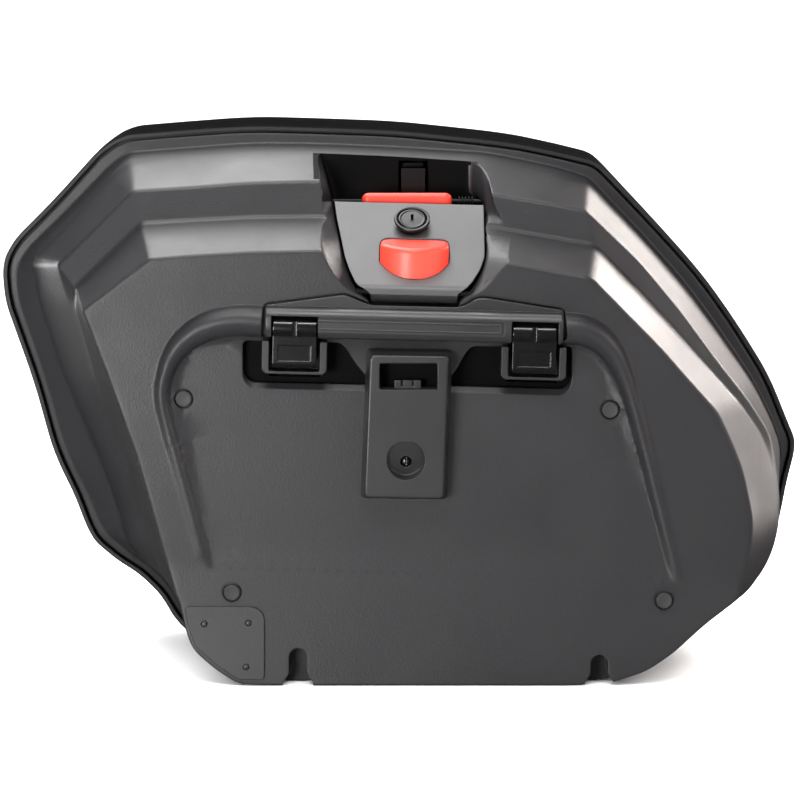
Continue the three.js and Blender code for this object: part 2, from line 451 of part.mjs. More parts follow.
// ---------------------------------------------------------------- catch gear, in its own turned frame
// half-round cover, open at the back and at the two hook windows
function coverProfile(r0, r1) {
  const back = Math.acos((SHAFT_Y - (WALL_Y - 0.4)) * -1 / r0);
  const out = [];
  for (let i = 0; i <= 14; i++) {
    const a = back + (2 * Math.PI - 2 * back) * i / 14;
    out.push([SHAFT_Y + r0 * Math.cos(a), r0 * Math.sin(a)]);
  }
  if (r1) {
    const backIn = Math.acos((SHAFT_Y - (WALL_Y - 0.4)) * -1 / r1);
    for (let i = 14; i >= 0; i--) {
      const a = backIn + (2 * Math.PI - 2 * backIn) * i / 14;
      out.push([SHAFT_Y + r1 * Math.cos(a), r1 * Math.sin(a)]);
    }
  }
  return out;
}
const plateXZ = (pts, y0, y1) => prismXZ(pts.map(([x, z]) => toUV(x, z)), y0, y1);
let cover = join(
  solid(prismYZ(coverProfile(COVER_R, 8), -COVER_U, COVER_U)),
  solid(prismYZ(coverProfile(COVER_R - 0.01), -COVER_U, -COVER_U + 2)),
  solid(prismYZ(coverProfile(COVER_R - 0.01), COVER_U - 2, COVER_U)),
  solid(plateXZ([[-89, 248], [-89, 253], [-37.4, 259.6], [-33.5, 258.8], [-23.5, 254.6], [-18.5, 252.9], [38.5, 251.6], [44, 253.2],
    [50, 257.2], [57.1, 257.6], [107.5, 249.6], [107.5, 246]], -111.6, WALL_Y - 0.4)));
cover = cut(cover, ...HOOK_U.map((u) => solid(box(u - 15.4, u + 15.4, -130, -100, -20, 4.55))),
  solid(prismYZ(coverProfile(8), -COVER_U + 2.3, COVER_U - 2.3)));
part('mechanism_cover', cover, 'shell', mech);
part('hook_shaft', bar('x', SHAFT_R, -94.6, 94.6, [SHAFT_Y, SHAFT_V], 16), 'steel', mech);

// hooks: a barrel on the shaft with a blade that ends in an inward lip
for (const [k, name] of [[0, 'left'], [1, 'right']]) {
  const u = HOOK_U[k], w = HOOK_W / 2;
  const blade = solid(prismYZ([[-117.4, -5], [-117.2, -27.5], [-115.6, -30.2], [-105.5, -30.2], [-104.8, -27.6], [-113.6, -26.8], [-113.8, -5]], u - w, u + w));
  const barrel = solid(bar('x', BARREL_R, u - w, u + w, [SHAFT_Y, SHAFT_V], 24));
  const notch = solid(box(u - 1.6, u + 1.6, -120, -116, -14, 2));
  const bore = solid(bar('x', SHAFT_R + GAP, u - 20, u + 20, [SHAFT_Y, SHAFT_V], 16));
  part('hook_' + name, cut(join(barrel, blade), bore, notch), 'dark', mech);
  // guide round the blade, set in the tray
  const guide = prismXZ([[u - 21.5, -12.5], [u - 21.5, -32], [u - 19, -34.5], [u + 19, -34.5], [u + 21.5, -32], [u + 21.5, -12.5],
    [u + 16.6, -12.5], [u + 16.6, -32.4], [u - 16.6, -32.4], [u - 16.6, -12.5]], -112.5, -94.4);
  part('hook_guide_' + name, guide, 'dark', mech);
}

// handle flap: a plate that runs down to a round hub on the handle pin
const N = [-0.6346, 0.7728];    // outward normal of the flap's face, in y, v
const S = [0.7728, 0.6346];     // up its slope
const tangent = [PIN_Y + HUB_R * N[0], PIN_V + HUB_R * N[1]];
const flapTop = [tangent[0] + S[0] * 78.5, tangent[1] + S[1] * 78.5];
const plateProfile = [tangent, flapTop, [flapTop[0] - N[0] * FLAP_T, flapTop[1] - N[1] * FLAP_T],
  [tangent[0] - N[0] * FLAP_T, tangent[1] - N[1] * FLAP_T]];
const flapEdge = [[-17.6, 249], [-19.2, 258.4], [-19.4, 260], [-20.9, 262], [-23.4, 263.8], [-26.7, 265.4], [-29.2, 267.5], [-33.2, 275], [-36.5, 283], [-38.6, 292], [-42.4, 307], [-44.3, 318], [-44.6, 322],
  [56.4, 322], [56.2, 283], [53, 275], [47.5, 267.5], [45.2, 265.4], [43.5, 263.8], [40.6, 262], [38, 260], [37.8, 258.4], [36.4, 249]];
const onFace = (s, n) => [tangent[0] + S[0] * s + N[0] * n, tangent[1] + S[1] * s + N[1] * n];
const lockAt = [-2.7, 57.6];    // u, and distance up the slope
// bar square to the flap's face, from depth n0 to height n1
function normalBar(r, n0, n1, seg = 28) {
  const g = new THREE.CylinderGeometry(r, r, n1 - n0, seg);
  g.translate(0, (n0 + n1) / 2, 0);
  g.rotateX(Math.atan2(N[1], N[0]));
  const [y, v] = onFace(lockAt[1], 0);
  return g.translate(lockAt[0], y, v);
}
const BUTTON = { u: -0.7, half: 22.8, front: -103.4, back: -74, r: 27, low: 29.3, high: 53.9, lowHigh: 49.3 };
function buttonOutline(g) {
  const cy = BUTTON.front + BUTTON.r;
  const out = [[BUTTON.u + BUTTON.half + g, BUTTON.back + g]];
  const h = BUTTON.half + g, r = BUTTON.r + g;
  const a0 = Math.acos(h / r);
  for (let i = 0; i <= 12; i++) {
    const a = a0 + (Math.PI - 2 * a0) * i / 12;
    out.push([BUTTON.u + r * Math.cos(a), cy - r * Math.sin(a)]);
  }
  out.push([BUTTON.u - BUTTON.half - g, BUTTON.back + g]);
  return out;
}
const prismUY = (poly, v0, v1) => loftGeometry([poly.map(([u, y]) => [u, y, v0]), poly.map(([u, y]) => [u, y, v1])], (p) => new THREE.Vector2(p[0], p[1]));
let flap = join(solid(prismYZ(plateProfile, -60, 60)), solid(bar('x', HUB_R, -60, 60, [PIN_Y, PIN_V], 28)));
flap = flap.intersect(solid(plateXZ(flapEdge, -140, 0)));
flap = join(flap, solid(box(-24, 25, -100.5, -78, PIN_V - 5.4, PIN_V - 3.2)));
flap = cut(flap, solid(bar('x', PIN_R + GAP, -60, 60, [PIN_Y, PIN_V], 16)), solid(normalBar(9.9, -8, 8)),
  solid(prismUY(buttonOutline(0.5), PIN_V + 4, 100)));
part('handle_flap', flap, 'flap', mech);
part('handle_pin', bar('x', PIN_R, -38.2, 38, [PIN_Y, PIN_V], 16), 'steel', mech);

// lock: bezel, turning barrel with its keyway, and the tongue on its inner end
part('lock_ring', cut(solid(normalBar(12, 0.35, 5.6, 32)), solid(normalBar(9.9, -1, 8, 28))), 'dark', mech);
const atLock = (g, n) => { const [y, v] = onFace(lockAt[1], n); return g.rotateX(Math.atan2(N[1], N[0])).translate(lockAt[0], y, v); };
part('lock_cylinder', cut(solid(normalBar(9.5, -15.6, 6.1, 28)), solid(atLock(new THREE.BoxGeometry(1.9, 5, 8.4), 5.6))), 'dark', mech);
part('lock_cam', solid(normalBar(5.5, -19, -15.95, 20)).add(solid(atLock(new THREE.BoxGeometry(7, 3.05, 13).translate(0, 0, 6.5), -17.475))), 'steel', mech);

// release button: a block with a curved front that slides down through the flap
const buttonTop = (y) => BUTTON.lowHigh + (BUTTON.high - BUTTON.lowHigh) * (y - BUTTON.front) / (BUTTON.back - BUTTON.front);
const bo = buttonOutline(0), boTop = buttonOutline(-1.2);
part('release_button', loftGeometry([
  bo.map(([u, y]) => [u, y, BUTTON.low]), bo.map(([u, y]) => [u, y, buttonTop(y) - 1.2]), boTop.map(([u, y]) => [u, y, buttonTop(y)]),
], (p) => new THREE.Vector2(p[0], p[1])), 'red', mech);
part('button_spring', coil(4, 0.55, 18.6, 28.4, 4).translate(BUTTON.u, -87, 0), 'steel', mech);

// ---------------------------------------------------------------- lid lever and latch bolt
const lever = cut(solid(prismYZ([[-40.5, 309], [-41, 320.6], [-38.6, 322.6], [-28, 320.6], [-24, 318.6], [-23.6, 313.6], [-27, 312], [-35, 309]], -25.7, 35.2)),
  solid(bar('x', LEVER_PIN_R + GAP, -60, 60, [LEVER_Y, LEVER_Z], 16)));
part('lid_lever', lever, 'red');
part('lever_pin', bar('x', LEVER_PIN_R, -47.2, 59, [LEVER_Y, LEVER_Z], 14), 'steel');
part('lever_spring', coil(2.9, 0.5, 0, 11, 5).rotateY(Math.PI / 2).translate(39, LEVER_Y, LEVER_Z), 'steel');
part('latch_bolt', prismYZ([[-19.5, 298], [-14.4, 298], [-14.4, 332], [-5, 332], [-5, 338], [-19.5, 338]], 1, 17), 'steel');

// ---------------------------------------------------------------- rear wall pieces
const BRACKET = [[-19.3, 220.6], [31.5, 219.8], [28.3, 126.3], [-23.1, 127]];
let bracket = solid(loftGeometry([ringAt(offset(BRACKET, 3), (x, z) => fieldY(z) - 0.4), ringAt(offset(BRACKET, 0.6), -118.6), ringAt(BRACKET, -120)]));
const recess = new THREE.CylinderGeometry(12.6, 12.6, 14, 32).rotateX(0.3).translate(3.9, -123.1, 150.5);
bracket = cut(bracket, solid(box(-13.1, 24.3, -125, -105.5, 198.6, 215.2)), solid(recess), solid(bar('y', 3.8, -130, -107, [3.9, 149.9], 20)));
bracket = join(bracket, solid(box(-3.6, 13.8, -114, -105, 198, 203.6)));
part('mounting_bracket', bracket, 'shell');
part('bracket_screw', join(solid(bar('y', 3.4, -113, -110.4, [3.9, 149.9], 20)), solid(bar('y', 2.2, -111, -107.4, [3.9, 149.9], 14))), 'steel');

const lean = new THREE.Group();
lean.position.set(0, FOOT_Y, 0);
const leanAngle = Math.atan((WALL_Y - FOOT_Y) / creaseAt(-118));
lean.rotation.x = -leanAngle;
root.add(lean);
const PLATE = [[-142.4, 52.6], [-141, 40], [-135.8, 26], [-121.8, 13.8], [-107.5, 4], [-90, 4], [-90, 44], [-91, 47.6], [-93.6, 50.6], [-98.4, 52.6]];
const RIVETS = [[-129.9, 41], [-100.6, 41.6], [-102.1, 12.4]];
part('corner_plate', cut(solid(prismXZ(PLATE, -1.7, -0.35)), ...RIVETS.map(([x, z]) => solid(bar('y', 2.2, -3, 1, [x, z], 14)))), 'shell', lean);
RIVETS.forEach(([x, z], i) => part('plate_rivet_' + (i + 1), bar('y', 1.85, -2.1, -0.35, [x, z], 14), 'dark', lean));

// round buffers on the rear wall, flat in front and backed to the wall's slope
PADS.forEach(([x, z], i) => {
  const base = (a, b) => (b > 90 ? fieldY(b) : wallY(a, b)) - 0.4;
  const disc = (r) => Array.from({ length: 20 }, (_, k) => [x + r * Math.cos(k * Math.PI / 10), z + r * Math.sin(k * Math.PI / 10)]);
  const front = z > 90 ? fieldY(z) - 2.6 : -113.2;
  part('pad_' + (i + 1), loftGeometry([ringAt(disc(PAD_R), base), ringAt(disc(PAD_R), front + 0.6), ringAt(disc(PAD_R - 0.7), front)]), 'rubber');
});

// ---------------------------------------------------------------- hinges under the lower edge
HINGE_X.forEach((x, i) => {
  const bore = solid(bar('x', HINGE_PIN_R + GAP, x - 30, x + 30, [HINGE_Y, HINGE_Z], 14));
  const knuckle = (a, b) => solid(bar('x', HINGE_R, a, b, [HINGE_Y, HINGE_Z], 18));
  const leaf = join(knuckle(x - 19, x - 6.4), knuckle(x + 6.4, x + 19), solid(box(x - 19, x + 19, -28.5, -8, 0.6, 2.8)),
    solid(box(x - 19, x - 6.4, -9, HINGE_Y, 0.6, 2.8)), solid(box(x + 6.4, x + 19, -9, HINGE_Y, 0.6, 2.8)));
  part('hinge_leaf_shell_' + (i + 1), cut(leaf, bore), 'steel');
  const other = join(knuckle(x - 6, x + 6), solid(box(x - 6, x + 6, HINGE_Y, 2, 1, 3.1)), solid(box(x - 8, x + 8, 1.2, 24, 1, 3.1)));
  part('hinge_leaf_lid_' + (i + 1), cut(other, bore), 'steel');
  part('hinge_pin_' + (i + 1), bar('x', HINGE_PIN_R, x - 19.6, x + 19.6, [HINGE_Y, HINGE_Z], 12), 'steel');
});

export default root;
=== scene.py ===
import math
import bpy
import bmesh
import numpy as np
from mathutils import Vector, Matrix
from mathutils.geometry import delaunay_2d_cdt


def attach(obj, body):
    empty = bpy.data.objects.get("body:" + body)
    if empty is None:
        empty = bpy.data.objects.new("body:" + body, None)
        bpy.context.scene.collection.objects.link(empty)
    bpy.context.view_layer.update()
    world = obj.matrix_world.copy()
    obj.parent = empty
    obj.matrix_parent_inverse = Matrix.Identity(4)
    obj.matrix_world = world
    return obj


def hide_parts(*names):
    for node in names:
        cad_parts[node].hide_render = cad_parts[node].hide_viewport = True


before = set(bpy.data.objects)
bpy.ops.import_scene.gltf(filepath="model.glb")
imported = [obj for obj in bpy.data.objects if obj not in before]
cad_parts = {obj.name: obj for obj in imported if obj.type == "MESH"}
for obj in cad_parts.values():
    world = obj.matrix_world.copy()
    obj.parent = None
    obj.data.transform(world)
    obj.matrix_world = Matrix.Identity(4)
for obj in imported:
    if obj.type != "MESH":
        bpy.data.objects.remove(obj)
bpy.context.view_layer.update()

MM = 0.001
T = math.radians(1.4)
MECH = (9.2, 0.0, 240.0)

# Stations round the case [x, z] in mm: rim, flange inner edge, ledge, slope foot, slope head, wall edge
STATIONS = [
  [[-60, 5.5], [-60, 5.2], [-60, 0], [-60, 0], [-60, 0], [-60, 0]],
  [[-112, 5.5], [-112, 5], [-111, 1.5], [-109, 0.6], [-108.5, 0.6], [-107.3, 0.6]],
  [[-136, 9.5], [-134.5, 9.5], [-131, 9.5], [-127, 10], [-126, 10.3], [-123.7, 11]],
  [[-153, 24.5], [-151, 25.5], [-147, 25], [-143, 24], [-142, 24], [-138.4, 23.9]],
  [[-162.6, 42.3], [-159, 44], [-154, 43], [-149, 41], [-148, 41], [-143.6, 40.1]],
  [[-179.2, 58.6], [-174.5, 60], [-168, 58], [-156.5, 55.5], [-155.3, 55], [-146.5, 54]],
  [[-193.5, 67.4], [-188, 69.5], [-180, 66.5], [-162.5, 63.5], [-161, 63], [-149.3, 60]],
  [[-209, 80.5], [-203.5, 83], [-191, 84], [-171, 84], [-169, 84], [-156.5, 84]],
  [[-214.5, 91.5], [-209.5, 93], [-194, 98], [-175, 98], [-173, 98], [-160.2, 98]],
  [[-221.4, 110.8], [-216.5, 111.5], [-199, 114], [-180, 115], [-178, 115], [-165, 116]],
  [[-236.1, 141.7], [-231.5, 142], [-211, 145], [-191, 150], [-189, 150.5], [-174.8, 152]],
  [[-248.7, 190.6], [-244.5, 191], [-231, 193], [-208, 196], [-205, 196.5], [-190.2, 197]],
  [[-267.9, 246.2], [-263, 247], [-248.5, 248], [-222, 247], [-218.5, 246.5], [-205, 238]],
  [[-269.3, 265.6], [-264, 265.5], [-251, 267], [-229.5, 268], [-217.8, 255], [-208.8, 247.5]],
  [[-267.8, 274.6], [-262, 272.8], [-252, 271.5], [-230.9, 275], [-218.2, 259.4], [-209.3, 249.6]],
  [[-261.1, 286], [-255, 283], [-249, 279], [-228, 277.8], [-215.5, 261.9], [-206.5, 251.8]],
  [[-235.7, 311.1], [-230.5, 306.5], [-225.5, 302], [-208, 297.3], [-197.5, 279.5], [-187.9, 266]],
  [[-204, 345.8], [-199, 339], [-195.5, 333.5], [-182.5, 322.2], [-175.3, 300.8], [-166.5, 282]],
  [[-193.2, 353], [-190, 345.5], [-187.7, 339.5], [-180.7, 323.9], [-173.6, 302.3], [-165, 283.1]],
  [[-185.3, 355.8], [-184, 348.3], [-182.5, 342.5], [-178.5, 325.2], [-171.5, 303], [-163, 283.7]],
  [[-143.4, 359.2], [-143.4, 351.3], [-142.8, 346.2], [-140.4, 327.5], [-140.2, 304.8], [-137.2, 285.8]],
  [[-102.9, 361.9], [-102.9, 354.4], [-102.5, 349.3], [-100.8, 330.6], [-100.6, 306.8], [-98.5, 288.1]],
  [[-60.4, 360.8], [-60, 354], [-59.6, 349.2], [-58, 331.7], [-58, 307.3], [-57, 289]],
  [[-3.4, 358.8], [-3.4, 351.7], [-3.4, 346.8], [-3.4, 329.2], [-3.4, 306.1], [-3.3, 287.8]],
  [[57, 352.6], [57.7, 348], [58, 342.8], [59.1, 323.5], [60, 300.5], [60, 282.3]],
  [[80.3, 349.6], [80, 343.8], [80, 338.6], [80, 319.6], [78, 297.4], [75, 280.3]],
  [[109.9, 343.4], [109, 337.5], [108.7, 332.6], [107.6, 315.1], [107.4, 292.2], [105.1, 274.4]],
  [[132.6, 337.9], [129, 331], [128, 326.8], [124.5, 311.5], [130, 288.3], [124, 271]],
  [[140, 331], [135, 325.5], [133.4, 322], [127.5, 309], [134, 285.5], [128.5, 268.5]],
  [[145.1, 325.6], [139.5, 320.5], [137.6, 317.4], [131, 306], [138, 281.8], [132, 264.9]],
  [[172.8, 296.7], [167, 291.8], [165.8, 288.5], [161.7, 276.7], [163, 256], [153.5, 243]],
  [[203.8, 262.8], [197.5, 257.5], [195.6, 254.6], [189, 244.2], [184, 232.8], [172, 224.4]],
  [[227.3, 230.2], [220.5, 226], [219, 223.3], [212.5, 212.5], [205, 208.5], [190.5, 203.5]],
  [[251, 192.7], [245, 190], [243.4, 188.4], [236.5, 182.5], [229.5, 181], [210, 182]],
  [[263.5, 162.5], [258.6, 161.5], [256.8, 161], [251, 160], [244.5, 159.5], [219.5, 161]],
  [[269.4, 148.5], [263.6, 147.8], [261.6, 147.4], [254, 145.5], [249.8, 144.3], [225.5, 146.5]],
  [[269, 140.5], [264.4, 138.5], [262.4, 137], [256, 132.5], [253, 130.5], [229.5, 131.5]],
  [[264, 120], [262.6, 119], [261.4, 118], [258.3, 113.5], [256.3, 111.5], [233.8, 110.5]],
  [[260.5, 100], [260, 99.5], [259.5, 99], [258, 98.5], [256.7, 97.5], [233.6, 97]],
  [[257, 84], [256.7, 84], [256.5, 84], [255, 83.5], [254, 83], [231, 81.5]],
  [[250, 66], [250, 66], [249.8, 66.5], [249, 68.5], [248.2, 69], [226.5, 67]],
  [[236, 46.5], [236, 46.8], [236, 47], [235.5, 49.5], [235, 50.2], [225, 56.5]],
  [[205.5, 27], [205.4, 27.3], [205, 28], [203.5, 32], [203, 32.8], [201.8, 38.8]],
  [[179, 12.5], [179, 12.8], [179, 13], [179, 15.5], [179, 16], [180.8, 20.1]],
  [[161, 6.2], [161, 6], [161, 4], [162, 5.5], [162, 5.8], [163.5, 8.8]],
  [[140, 5.5], [140, 5.2], [140, 0.8], [140, 0.6], [140, 0.6], [139.7, 1.4]],
  [[110, 5.5], [110, 5.2], [110, 0], [110, 0], [110, 0], [110, 0]],
]
WALL_Y, FOOT_Y = -108.0, -118.0
PANEL_Y, PANEL_LOW_Y = -101.0, -106.5
FLOOR = 9.5


# ------------------------------------------------------------------ outline helpers (mm)
def arr(p):
    return np.array(p, float)


def round_poly(poly, r, n=4, frac=0.46):
    """Closed outline with every corner replaced by a short curve of n + 1 points."""
    p = arr(poly)
    m = len(p)
    out = []
    for i in range(m):
        a, b, c = p[i - 1], p[i], p[(i + 1) % m]
        la, lc = np.linalg.norm(a - b), np.linalg.norm(c - b)
        d = min(r, frac * min(la, lc)) if min(la, lc) > 1e-9 else 0.0
        s = b + (a - b) * (d / max(la, 1e-9))
        e = b + (c - b) * (d / max(lc, 1e-9))
        for k in range(n + 1):
            t = k / n
            out.append((1 - t) ** 2 * s + 2 * t * (1 - t) * b + t * t * e)
    return arr(out)


def offset(poly, d):
    p = arr(poly)
    x, z = p[:, 0], p[:, 1]
    area = np.sum(x * np.roll(z, -1) - np.roll(x, -1) * z)
    s = 1.0 if area > 0 else -1.0
    e1 = p - np.roll(p, 1, 0)
    e2 = np.roll(p, -1, 0) - p
    e1 /= np.maximum(np.linalg.norm(e1, axis=1, keepdims=True), 1e-9)
    e2 /= np.maximum(np.linalg.norm(e2, axis=1, keepdims=True), 1e-9)
    n1 = np.stack([e1[:, 1] * s, -e1[:, 0] * s], 1)
    n2 = np.stack([e2[:, 1] * s, -e2[:, 0] * s], 1)
    m = n1 + n2
    m /= np.maximum(np.linalg.norm(m, axis=1, keepdims=True), 1e-9)
    k = d / np.maximum(0.6, np.sum(m * n1, 1))
    return p + m * k[:, None]


def at(poly, y):
    p = arr(poly)
    yy = np.full(len(p), float(y)) if np.isscalar(y) else np.array(y, float)
    return np.stack([p[:, 0], yy, p[:, 1]], 1)


def catmull(pts, n):
    """Smooth open curve through the points, n steps between each pair."""
    p = arr(pts)
    q = np.vstack([2 * p[0] - p[1], p, 2 * p[-1] - p[-2]])
    out = []
    for i in range(1, len(q) - 2):
        for k in range(n):
            t = k / n
            out.append(0.5 * ((2 * q[i]) + (-q[i - 1] + q[i + 1]) * t + (2 * q[i - 1] - 5 * q[i] + 4 * q[i + 1] - q[i + 2]) * t * t
                              + (-q[i - 1] + 3 * q[i] - 3 * q[i + 1] + q[i + 2]) * t ** 3))
    out.append(q[-2])
    return arr(out)


def rounded(x0, x1, z0, z1, r, seg=6):
    out = []
    for cx, cz, a0 in ((x1 - r, z0 + r, -90), (x1 - r, z1 - r, 0), (x0 + r, z1 - r, 90), (x0 + r, z0 + r, 180)):
        for i in range(seg + 1):
            a = math.radians(a0 + 90 * i / seg)
            out.append((cx + r * math.cos(a), cz + r * math.sin(a)))
    return out


def to_uv(x, z):
    c, s = math.cos(T), math.sin(T)
    return ((x - MECH[0]) * c - (z - MECH[2]) * s, (x - MECH[0]) * s + (z - MECH[2]) * c)


GEAR = Matrix.Translation(Vector(MECH)) @ Matrix.Rotation(T, 4, 'Y')


# ------------------------------------------------------------------ mesh helpers
def mesh_from(verts, faces, name="m", gear=False):
    me = bpy.data.meshes.new(name)
    me.from_pydata([tuple(map(float, v)) for v in verts], [], [tuple(int(i) for i in f) for f in faces])
    if gear:
        me.transform(GEAR)
    me.update()
    return me


def outward(me):
    bm = bmesh.new()
    bm.from_mesh(me)
    bmesh.ops.remove_doubles(bm, verts=bm.verts, dist=0.002)
    bmesh.ops.dissolve_degenerate(bm, dist=0.001, edges=bm.edges)
    bmesh.ops.recalc_face_normals(bm, faces=bm.faces)
    if bm.calc_volume(signed=True) < 0:
        bmesh.ops.reverse_faces(bm, faces=bm.faces)
    bm.to_mesh(me)
    bm.free()
    me.update()
    return me


def loft(rings, gear=False, name="loft"):
    """Closed skin through rings of equal length."""
    n = len(rings[0])
    verts = np.vstack([arr(r) for r in rings])
    faces = []
    for k in range(len(rings) - 1):
        for i in range(n):
            j = (i + 1) % n
            faces.append((k * n + i, k * n + j, (k + 1) * n + j, (k + 1) * n + i))
    faces.append(tuple(range(n)))
    faces.append(tuple(range((len(rings) - 1) * n, len(rings) * n)))
    return outward(mesh_from(verts, faces, name, gear))


def prism_xz(poly, y0, y1, gear=False):
    return loft([at(poly, y0), at(poly, y1)], gear)


def prism_yz(poly, x0, x1, gear=False, xs=None):
    xs = xs or [x0, x1]
    p = arr(poly)
    return loft([np.stack([np.full(len(p), x), p[:, 0], p[:, 1]], 1) for x in xs], gear)


def block(x0, x1, y0, y1, z0, z1, gear=False, r=0.0):
    if r:
        return soft_block(x0, x1, y0, y1, z0, z1, r, gear)
    return prism_xz([(x0, z0), (x1, z0), (x1, z1), (x0, z1)], y0, y1, gear)


def soft_block(x0, x1, y0, y1, z0, z1, r, gear=False, seg=3):
    """Block with rounded edges all round."""
    rings = []
    for k in range(seg + 1):
        a = math.pi / 2 * k / seg
        rings.append((r - r * math.sin(a), y0 + r - r * math.cos(a)))
    for k in range(seg, -1, -1):
        a = math.pi / 2 * k / seg
        rings.append((r - r * math.sin(a), y1 - r + r * math.cos(a)))
    out = []
    for d, y in rings:
        rr = max(0.05, r - d + 0.02)
        out.append(at(rounded(x0 + d, x1 - d, z0 + d, z1 - d, max(rr, 0.05), 5), y))
    return loft(out, gear)


def rod(axis, r, a, b, c, seg=40, gear=False, edge=0.25):
    """Round bar with eased ends."""
    e = min(edge, r * 0.3, (b - a) * 0.3)
    rings = []
    for rr, t in ((r - e, a), (r - e * 0.3, a + e * 0.3), (r, a + e), (r, b - e), (r - e * 0.3, b - e * 0.3), (r - e, b)):
        ring = []
        for i in range(seg):
            w = 2 * math.pi * i / seg
            p, q = rr * math.cos(w), rr * math.sin(w)
            if axis == 'x':
                ring.append((t, c[0] + p, c[1] + q))
            elif axis == 'y':
                ring.append((c[0] + p, t, c[1] + q))
            else:
                ring.append((c[0] + p, c[1] + q, t))
        rings.append(arr(ring))
    return loft(rings, gear)


def boolean(me, tools, op):
    """me joined with or cut by each tool in turn."""
    o = bpy.data.objects.new("work", me)
    bpy.context.scene.collection.objects.link(o)
    for t in tools:
        to = bpy.data.objects.new("tool", t)
        bpy.context.scene.collection.objects.link(to)
        mod = o.modifiers.new("b", 'BOOLEAN')
        mod.operation = op
        mod.solver = 'MANIFOLD'
        mod.object = to
        bpy.context.view_layer.update()
        dg = bpy.context.evaluated_depsgraph_get()
        res = bpy.data.meshes.new_from_object(o.evaluated_get(dg), depsgraph=dg)
        if len(res.vertices) == 0:
            o.modifiers.clear()
            mod = o.modifiers.new("b", 'BOOLEAN')
            mod.operation = op
            mod.solver = 'EXACT'
            mod.object = to
            bpy.context.view_layer.update()
            dg = bpy.context.evaluated_depsgraph_get()
            res = bpy.data.meshes.new_from_object(o.evaluated_get(dg), depsgraph=dg)
            print("exact used", len(res.vertices))
        o.modifiers.clear()
        o.data = res
        bpy.data.objects.remove(to)
    res = o.data
    bpy.data.objects.remove(o)
    return res


def cut(me, *tools):
    return boolean(me, tools, 'DIFFERENCE')


def join(me, *tools):
    return boolean(me, tools, 'UNION')


def both(me, *tools):
    return boolean(me, tools, 'INTERSECT')


def merged(*meshes):
    """Several closed bodies held as one mesh, left separate."""
    bm = bmesh.new()
    for m in meshes:
        bm.from_mesh(m)
    out = bpy.data.meshes.new("merged")
    bm.to_mesh(out)
    bm.free()
    return out


def piece(name, me, body, mat, replaces=(), angle=32, weighted=True, bevel=0.0, bevel_seg=3, second=None, where=None):
    """A finished visible piece from a mesh in mm."""
    me.transform(Matrix.Scale(MM, 4))
    me.name = name
    bm = bmesh.new()
    bm.from_mesh(me)
    bmesh.ops.remove_doubles(bm, verts=bm.verts, dist=2e-6)
    if bevel:
        bmesh.ops.dissolve_limit(bm, angle_limit=math.radians(0.6), verts=bm.verts, edges=bm.edges)
    bm.to_mesh(me)
    bm.free()
    o = bpy.data.objects.new(name, me)
    bpy.context.scene.collection.objects.link(o)
    me.materials.clear()
    me.materials.append(mat)
    if second:
        me.materials.append(second)
    for p in me.polygons:
        p.material_index = int(bool(second and where(p.center / MM, p.normal)))
        p.use_smooth = True
    if bevel:
        b = o.modifiers.new("bevel", 'BEVEL')
        b.width = bevel * MM
        b.segments = bevel_seg
        b.limit_method = 'ANGLE'
        b.angle_limit = math.radians(28)
        b.harden_normals = False
        b.use_clamp_overlap = True
    me.set_sharp_from_angle(angle=math.radians(angle))
    if weighted:
        w = o.modifiers.new("wn", 'WEIGHTED_NORMAL')
        w.keep_sharp = True
        w.weight = 60
    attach(o, body)
    if replaces:
        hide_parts(*replaces)
    return o


# ------------------------------------------------------------------ materials
def node(nt, kind, **kw):
    n = nt.nodes.new(kind)
    for k, v in kw.items():
        setattr(n, k, v)
    return n


